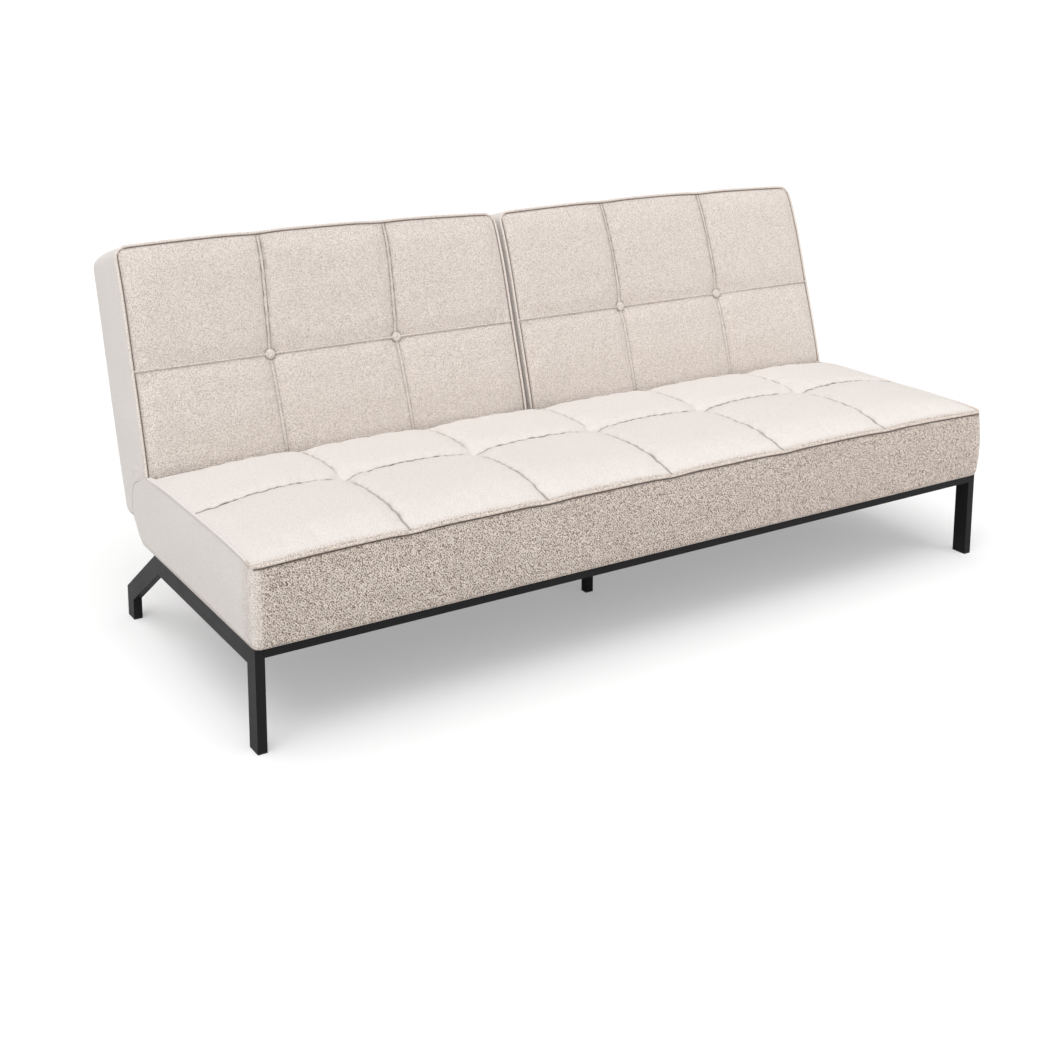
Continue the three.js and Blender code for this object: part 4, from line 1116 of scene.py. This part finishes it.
def lower_end(sizes, share, bay):
    """The lower end of a back half from rear (0) to front (1): round the pivot, or a bay."""
    face = sizes.face
    start = math.atan2(HEEL, sizes.rear) - math.acos(face / math.hypot(sizes.rear, HEEL))
    over = np.clip((share - HEEL_SHARE) / (1 - HEEL_SHARE), 0, 1)
    t = np.clip(share / HEEL_SHARE, 0, 1)
    turn = start - over * (math.pi + start)
    w, u = face * np.cos(turn), face * np.sin(turn)
    heel_w = sizes.rear + t * (face * math.cos(start) - sizes.rear)
    heel_u = HEEL + t * (face * math.sin(start) - HEEL)
    first = math.asin(HEEL / sizes.bay)
    turn = first + over * (math.pi - math.acos(face / sizes.bay) - first)
    bay_w, bay_u = sizes.bay * np.cos(turn), sizes.bay * np.sin(turn)
    bay_heel_w = sizes.rear + t * (sizes.bay * math.cos(first) - sizes.rear)
    heel = share < HEEL_SHARE
    around = np.where(heel, (heel_w, heel_u), (w, u))
    over_hinge = np.where(heel, (bay_heel_w, np.full_like(t, HEEL)), (bay_w, bay_u))
    return np.where(bay, over_hinge, around)


LAP_TIP_TURN, LAP_TIP_REACH = math.radians(-34), mm(66)  # from the pivot to its rear tip
LAP_REACH, LAP_FRONT = mm(42), mm(56)  # straight above the pivot, and at the front face
LAP_SAG = mm(9)


def lapped_end(sizes, share):
    """The lower edge of the end panel, from rear to front, where it laps over the seat's ear."""
    tip_w = LAP_TIP_REACH * math.cos(LAP_TIP_TURN)
    tip_u = LAP_TIP_REACH * math.sin(LAP_TIP_TURN)
    t = np.clip(share / HEEL_SHARE, 0, 1)
    last = math.atan2(LAP_FRONT, -sizes.face)
    climb = (LAP_FRONT - LAP_REACH) / sizes.face
    over = np.clip((share - HEEL_SHARE) / (1 - HEEL_SHARE), 0, 1)
    turn = LAP_TIP_TURN + over * (last - LAP_TIP_TURN)
    upright = math.pi / 2
    early = np.clip((upright - turn) / (upright - LAP_TIP_TURN), 0, 1)
    away = LAP_REACH + (LAP_TIP_REACH - LAP_REACH) * early**2
    past = np.maximum(turn, upright)
    away = np.where(turn > upright, LAP_REACH / (np.sin(past) + climb * np.cos(past)), away)
    sag = LAP_SAG * np.sin(np.pi * t)
    heel = share < HEEL_SHARE
    w = np.where(heel, sizes.rear + t * (tip_w - sizes.rear), away * np.cos(turn))
    u = np.where(heel, HEEL + t * (tip_u - HEEL) - sag, away * np.sin(turn))
    return w, u


def back_piping_path(sizes, quilt):
    """Path of the piping up one side of the face, over the top and down the other."""
    half, top = quilt.half[0] - PIPING_INSET, sizes.top - PIPING_INSET
    radius, low = sizes.corner, PIPING_LOW
    corner_x = half - radius + radius * np.cos(CORNER_TURNS)
    corner_u = top - radius + radius * np.sin(CORNER_TURNS)
    line = [
        (half, low), *zip(corner_x, corner_u), *zip(-corner_x[::-1], corner_u[::-1]), (-half, low)]
    path = resampled(np.array([(quilt.middle[0] + x, 0, u) for x, u in line]), PIPING_STEP)
    path[:, 1] = -quilt.edge(path[:, 0], path[:, 2]) + PIPING_SINK
    path[:, 2] += crowned(quilt, path[:, 0], path[:, 2])
    path[:, 1] += waves(path[:, 0], path[:, 2], 41, *BACK_CORD_WAVES)
    return path


SIDES = (("left", -1), ("right", 1))
SEAM_END, RIM_END = mm(60), mm(40)  # seams, and the painted shade lines by the piping, end this far above the pivot
TAPE_MARK, WELT_MARK, REAR_MARK = mm(1.6), mm(1.5), mm(1.8)  # widths of the painted shade lines
UPPER_FADE = mm(60)  # the painted shade lines get darker up to this far above the welt
WELT_SHADE = mm(3.6)  # the painted shadow line of a welt lies this far under its middle
REAR_SEAM = mm(11.5)  # from the edges of the rear panel to its seam
BACK_SEED = 20  # the backs' folds use seeds of their own
BACK_WEAR_AND_LIGHT = 0.42  # how flat the loops of their faces are, partly real wear and partly painted light


class SOFA_OT_backs(bpy.types.Operator):
    """Build the two quilted back cushions"""

    bl_idname = "sofa.backs"
    bl_label = "Back cushions"

    def execute(self, context):
        sizes, trim = context.scene.sofa_back, context.scene.sofa_trim
        seed = context.scene.sofa_stage.fold_seed
        for name, sign in SIDES:
            points, quads, quilt, lattice = back_shape(sizes, sign, seed + BACK_SEED + sign)
            points = swollen_face(
                points, quads, quilt, lattice["front"], HELD_BUTTON, sizes.swelling, LOW_STILL)
            cloth = bpy.data.materials["back_cloth"]
            cushion = add_mesh(f"{name}_back_cushion", from_hinge_frame(points), quads, cloth)
            x, u = points[:, 0], points[:, 2]
            flat_u = u - crowned(quilt, x, u)
            # Painted shade: lines beside the seam tapes, a shadow line under the welt, a ring round each button,
            # the groove by the piping and the rear seam
            above = 0.5 + 0.3 * smooth(u, quilt.rows[1], quilt.rows[1] + UPPER_FADE)
            above = above * (0.85 + waves(x, u, 67, BREAKS, 0.4))
            seam_x = x - seam_shift(quilt, x, u)
            cross = above * groove(quilt.cross_distance(seam_x) - trim.tape / 2, TAPE_MARK)
            line = 0.3 * groove(u - quilt.rows[1] + WELT_SHADE, WELT_MARK)
            button = groove(np.maximum(quilt.tuft_distance(x, u) - trim.button, 0), SEAM_MARK)
            rim = quilt.rim(x, flat_u) * (u > RIM_END)
            painted_seam_shade = np.max([cross, line, button, rim], axis=0) * lattice["inner_face"]
            rear_seam_shade = 0.4 * groove(quilt.edge_distance(x, flat_u) - REAR_SEAM, REAR_MARK)
            mark(cushion, "painted_seam_shade", painted_seam_shade + rear_seam_shade * (u > SEAM_END) * lattice["rear"])
            # Painted light with some real wear: the lit ends and top of a back are paler and smoother than its
            # face
            wear_and_light = np.where(lattice["end"], 0.85, 0.5)
            mark(cushion, "wear_and_light", np.where(lattice["front"], BACK_WEAR_AND_LIGHT, wear_and_light))
            smooth_surface(cushion)
            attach(cushion, f"{name}_back")
            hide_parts(f"{name}_back_cover")
        return {"FINISHED"}


# Piping, seams and buttons


THREAD_SIDES = 5
STITCH_PLACES = np.array((0, 0.25, 0.75, 1))  # of the rings of a stitch, as shares of its length
STITCH_SIZES = np.array((0.5, 1.0, 1.0, 0.5))  # their radii, as shares of the thread's
STITCH_LIFTS = np.array((-0.9, 0.7, 0.7, -0.9))  # their heights, likewise


def stitched(points, normals, offset, trim):
    """A row of short stitches beside a seam."""
    pitch = trim.stitch + trim.stitch_gap
    run = run_along(points)
    asides = np.cross(unit(np.gradient(points, axis=0)), normals)
    section = round_section(trim.thread, THREAD_SIDES) * STITCH_SIZES[:, None, None]
    faces = tube_faces(len(STITCH_PLACES), THREAD_SIDES)
    parts = []
    for start in (np.arange(int(run[-1] / pitch)) + 0.2) * pitch:
        at = start + trim.stitch * STITCH_PLACES
        spine, up, aside = (looked_up(at, run, values) for values in (points, normals, asides))
        spine = spine + aside * offset + up * trim.thread * STITCH_LIFTS[:, None]
        parts.append((rings_round(spine, aside, up, section).reshape(-1, 3), faces))
    return joined(parts)


TAPE_SHARES = (
    (-0.5, -0.8), (-0.42, 0.35), (-0.26, 1.0), (-0.08, 0.55), (0.0, 0.15),
    (0.08, 0.55), (0.26, 1.0), (0.42, 0.35), (0.5, -0.8))


def tape_section(width, height):
    """Cross section of a double-stitched seam: two shallow ridges with a dip between them."""
    return [(a * width, h * height) for a, h in reversed(TAPE_SHARES)]


def trim_piece(name, parts, material, body):
    """One piece of several parts, which for a back half are in the frame of its hinge."""
    points, faces = joined(parts)
    if body != "root":
        points = from_hinge_frame(points)
    piece = add_mesh(name, points, faces, bpy.data.materials[material])
    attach(piece, body)
    return piece


UPWARDS = np.array((0.0, 0.0, 1.0))
FORWARDS = np.array((0.0, -1.0, 0.0))  # in the frame of the hinge


class SOFA_OT_piping(bpy.types.Operator):
    """Lay the piping round the seat and the faces of the back halves"""

    bl_idname = "sofa.piping"
    bl_label = "Piping"

    def execute(self, context):
        trim = context.scene.sofa_trim
        section = round_section(trim.piping)
        sizes = context.scene.sofa_seat
        path = seat_piping_path(sizes, seat_quilt(sizes))
        parts = [swept(path, UPWARDS, section, closed=True)]
        cord = trim_piece("seat_piping", parts, "piping_cloth", "root")
        from_front = np.array([v.co.y for v in cord.data.vertices]) - sizes.front
        # The cord is paler and smoother towards the rear: real wear and painted light
        mark(cord, "wear_and_light", 0.9 * smooth(from_front, *CORD_WEAR_AND_LIGHT))
        sizes = context.scene.sofa_back
        for name, sign in SIDES:
            path = back_piping_path(sizes, back_quilt(sizes, sign))
            parts = [swept(path, FORWARDS, section)]
            cord = trim_piece(f"{name}_back_piping", parts, "piping_cloth", f"{name}_back")
            mark(cord, "wear_and_light", 0.45)
        return {"FINISHED"}


TAPE_HEIGHT = mm(0.6)
STITCH_RISE = mm(0.5)  # of the stitches above the cloth, on top of a tape
STITCH_ROW = 0.34  # from the middle of a tape to its rows of stitches, as a share of its width
WELT_RADIUS, WELT_RISE, WELT_SIDES = mm(2.2), mm(1.2), 8


class SOFA_OT_seams(bpy.types.Operator):
    """Sew the double-stitched seams across the pads"""

    bl_idname = "sofa.seams"
    bl_label = "Seams"

    def execute(self, context):
        trim = context.scene.sofa_trim
        sizes = context.scene.sofa_seat
        quilt = seat_quilt(sizes)
        threads = []
        for _, x, y in quilt.seam_lines():
            path = np.stack([x, y, quilt.height(x, y)], axis=1)
            threads.append(stitched(path, quilt.normals(x, y), 0.0, trim))
        trim_piece("seat_stitches", threads, "oat_thread", "root")
        sizes = context.scene.sofa_back
        tape = tape_section(trim.tape, TAPE_HEIGHT)
        welt = round_section(WELT_RADIUS, WELT_SIDES)
        for name, sign in SIDES:
            quilt = back_quilt(sizes, sign)
            tapes, threads = [], []
            for kind, x, u in quilt.seam_lines():
                x, u = x[u > SEAM_END], u[u > SEAM_END]
                path = np.stack([x + seam_shift(quilt, x, u), -quilt.height(x, u), u], axis=1)
                ups = quilt.normals(x, u)[:, [0, 2, 1]] * (1, -1, 1)
                if kind == "length":
                    tapes.append(swept(path + ups * WELT_RISE, ups, welt))
                    continue
                tapes.append(swept(path, ups, tape))
                for offset in (-STITCH_ROW, STITCH_ROW):
                    threads.append(stitched(path + ups * STITCH_RISE, ups, offset * trim.tape, trim))
            seams = trim_piece(f"{name}_back_seams", tapes, "back_cloth", f"{name}_back")
            mark(seams, "wear_and_light", BACK_WEAR_AND_LIGHT)
            trim_piece(f"{name}_back_stitches", threads, "oat_thread", f"{name}_back")
        return {"FINISHED"}


BUTTON_SIDES, BUTTON_RINGS, BUTTON_FOLDS = 40, 9, 14
BUTTON_FOOT = 0.86  # radius where it sits on the cloth, as a share of its own
BUTTON_RIM = mm(2.5)  # height of its widest ring
BUTTON_TIP = mm(0.2)  # radius of its last ring
BUTTON_GATHER = mm(0.25)  # height of the gathers


def turned_button(trim, centre):
    """A covered button about the w axis: a flattened dome with fine gathers under its rim."""
    angle = 2 * np.pi * np.arange(BUTTON_SIDES) / BUTTON_SIDES
    rings = [(BUTTON_FOOT * trim.button, 0)]
    for turn in np.linspace(0, np.pi / 2, BUTTON_RINGS):
        gather = BUTTON_GATHER * np.cos(angle * BUTTON_FOLDS) * np.cos(turn) ** 3
        radius = np.maximum((trim.button + gather) * np.cos(turn) ** 0.6, BUTTON_TIP)
        rings.append((radius, BUTTON_RIM + (trim.button_height - BUTTON_RIM) * np.sin(turn)))
    points = [
        np.stack([radius * np.cos(angle), np.full_like(angle, -height), radius * np.sin(angle)], axis=1)
        for radius, height in rings
    ]
    faces = [face[::-1] for face in tube_faces(len(rings), BUTTON_SIDES)]
    return np.concatenate(points) + centre, faces


class SOFA_OT_buttons(bpy.types.Operator):
    """Cover the buttons of the back halves"""

    bl_idname = "sofa.buttons"
    bl_label = "Covered buttons"

    def execute(self, context):
        trim = context.scene.sofa_trim
        for name, _ in SIDES:
            for i in (1, 2):
                node = f"{name}_back_button_{i}"
                low, high = hinge_box(node)
                centre = ((low[0] + high[0]) / 2, high[1], (low[2] + high[2]) / 2)
                parts = [turned_button(trim, centre)]
                label = f"{name}_back_covered_button_{i}"
                button = trim_piece(label, parts, "back_cloth", f"{name}_back")
                mark(button, "wear_and_light", 0.5)
                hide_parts(node)
        return {"FINISHED"}


TUBE_ROUNDING = mm(1.6)
SHARP = math.radians(40)  # edges that turn by more than this are rounded
TUBES = (
    "left_side_frame", "right_side_frame", "front_rail", "rear_rail", "centre_beam", "centre_leg")


class SOFA_OT_metalwork(bpy.types.Operator):
    """Soften the edges of the tubes"""

    bl_idname = "sofa.metalwork"
    bl_label = "Metalwork"

    def execute(self, context):
        for name in TUBES:
            rounding = frame["nodes"][name].modifiers.new("rounded_edges", "BEVEL")
            rounding.width = TUBE_ROUNDING
            rounding.segments = 3
            rounding.limit_method = "ANGLE"
            rounding.angle_limit = SHARP
            rounding.harden_normals = True
        return {"FINISHED"}


# Stage


FLOOR_HALF = 30.0  # metres
FLOOR_LIT = 0.76  # tone of the floor for the light that it throws back
FLOOR_SEEN, FLOOR_GLOW = 0.70, 0.29  # its tone in the picture, and the light added there
AMBIENT = 0.41
SENSOR = 36.0  # millimetres, to go with the focal length
# Name, kind, place, the point it is turned to, and settings. Wide suns have soft shadows.
LAMPS = (
    ("soft_key", "SUN", (-1.35, -0.45, 4.75), (0, 0, 0), {"energy": 1.6, "angle": math.radians(62)}),
    ("front_fill", "SUN", (-1.65, -4.0, 2.5), (0, 0, 0), {"energy": 1.45, "angle": math.radians(100)}),
    ("right_softbox", "AREA", (2.2, -2.2, 0.9), (0.6, -0.3, 0.4), {"energy": 8.5, "size": 1.2}),
)


def add_lamp(name, kind, place, aim, settings):
    data = bpy.data.lights.new(name, kind)
    for key, value in settings.items():
        setattr(data, key, value)
    lamp = bpy.data.objects.new(name, data)
    bpy.context.scene.collection.objects.link(lamp)
    lamp.location = place
    lamp.rotation_euler = (Vector(place) - Vector(aim)).to_track_quat("Z", "Y").to_euler()


def grey(tone):
    return rgba((tone, tone, tone))


def emptied(block):
    """The node tree of a material or world, with nothing in it but a light path node."""
    block.use_nodes = True
    tree = block.node_tree
    tree.nodes.clear()
    return tree, add_node(tree, "ShaderNodeLightPath").outputs


def chosen(tree, factor, one, two, kind):
    """Ends a node tree with the mix of two shaders."""
    inputs = {0: factor, 1: one.outputs[0], 2: two.outputs[0]}
    mix = add_node(tree, "ShaderNodeMixShader", inputs)
    add_node(tree, kind, {0: mix.outputs[0]})


class SOFA_OT_stage(bpy.types.Operator):
    """Set up the floor, the soft light and the camera"""

    bl_idname = "sofa.stage"
    bl_label = "Stage"

    def execute(self, context):
        scene, look = context.scene, context.scene.sofa_stage
        scene.view_settings.view_transform = "Standard"
        material = bpy.data.materials.new("pale_floor")
        tree, ray = emptied(material)
        lit = add_node(tree, "ShaderNodeBsdfDiffuse", {"Color": grey(FLOOR_LIT)})
        pale = add_node(tree, "ShaderNodeBsdfDiffuse", {"Color": grey(FLOOR_SEEN)})
        glow = add_node(tree, "ShaderNodeEmission", {"Color": grey(1), "Strength": FLOOR_GLOW})
        both = add_node(tree, "ShaderNodeAddShader", {0: pale.outputs[0], 1: glow.outputs[0]})
        chosen(tree, ray["Is Camera Ray"], lit, both, "ShaderNodeOutputMaterial")
        corners = FLOOR_HALF * np.array([(-1, -1, 0), (1, -1, 0), (1, 1, 0), (-1, 1, 0)])
        floor = add_mesh("floor", corners, [(0, 1, 2, 3)], material)
        scene.world = bpy.data.worlds.new("studio")
        tree, ray = emptied(scene.world)
        seen = maths(tree, "MAXIMUM", ray["Is Camera Ray"], ray["Is Transmission Ray"])
        seen = maths(tree, "MAXIMUM", seen, ray["Is Glossy Ray"])
        ambient = add_node(tree, "ShaderNodeBackground", {"Color": grey(1), "Strength": AMBIENT})
        white = add_node(tree, "ShaderNodeBackground", {"Color": grey(1), "Strength": 1.0})
        chosen(tree, seen, ambient, white, "ShaderNodeOutputWorld")
        for lamp in LAMPS:
            add_lamp(*lamp)
        data = bpy.data.cameras.new("camera")
        data.lens, data.shift_y = look.lens, look.shift
        data.sensor_width = SENSOR
        data.clip_end = 100.0
        camera = bpy.data.objects.new("camera", data)
        scene.collection.objects.link(camera)
        yaw, pitch = look.camera_yaw, look.camera_pitch
        level = math.cos(pitch)
        forward = Vector((math.sin(yaw) * level, math.cos(yaw) * level, -math.sin(pitch)))
        right = Vector((math.cos(yaw), -math.sin(yaw), 0))
        up = right.cross(forward)
        turn = Matrix.Rotation(look.camera_roll, 3, -forward)
        axes = Matrix((turn @ right, turn @ up, -forward)).transposed()
        camera.matrix_world = Matrix.Translation(look.camera_place) @ axes.to_4x4()
        scene.camera = camera
        return {"FINISHED"}


class SOFA_PT_panel(bpy.types.Panel):
    """Sofa bed steps, in order"""

    bl_label = "Sofa bed"
    bl_idname = "SOFA_PT_panel"
    bl_space_type = "VIEW_3D"
    bl_region_type = "UI"
    bl_category = "Sofa bed"

    def draw(self, context):
        for step in STEPS:
            self.layout.operator(step.bl_idname)


STEPS = (
    SOFA_OT_stage,
    SOFA_OT_finishes,
    SOFA_OT_metalwork,
    SOFA_OT_seat,
    SOFA_OT_backs,
    SOFA_OT_piping,
    SOFA_OT_seams,
    SOFA_OT_buttons,
)
SETTINGS = {
    "sofa_seat": SeatSizes,
    "sofa_back": BackSizes,
    "sofa_trim": TrimSizes,
    "sofa_finish": Finish,
    "sofa_stage": StageLook,
}


def register():
    for name, kind in SETTINGS.items():
        bpy.utils.register_class(kind)
        setattr(bpy.types.Scene, name, PointerProperty(type=kind))
    for step in STEPS:
        bpy.utils.register_class(step)
    bpy.utils.register_class(SOFA_PT_panel)


def unregister():
    bpy.utils.unregister_class(SOFA_PT_panel)
    for step in reversed(STEPS):
        bpy.utils.unregister_class(step)
    for name, kind in SETTINGS.items():
        delattr(bpy.types.Scene, name)
        bpy.utils.unregister_class(kind)


def main():
    register()
    for step in STEPS:
        group, name = step.bl_idname.split(".")
        getattr(getattr(bpy.ops, group), name)()
    bpy.context.view_layer.update()


if __name__ == "__main__":
    main()
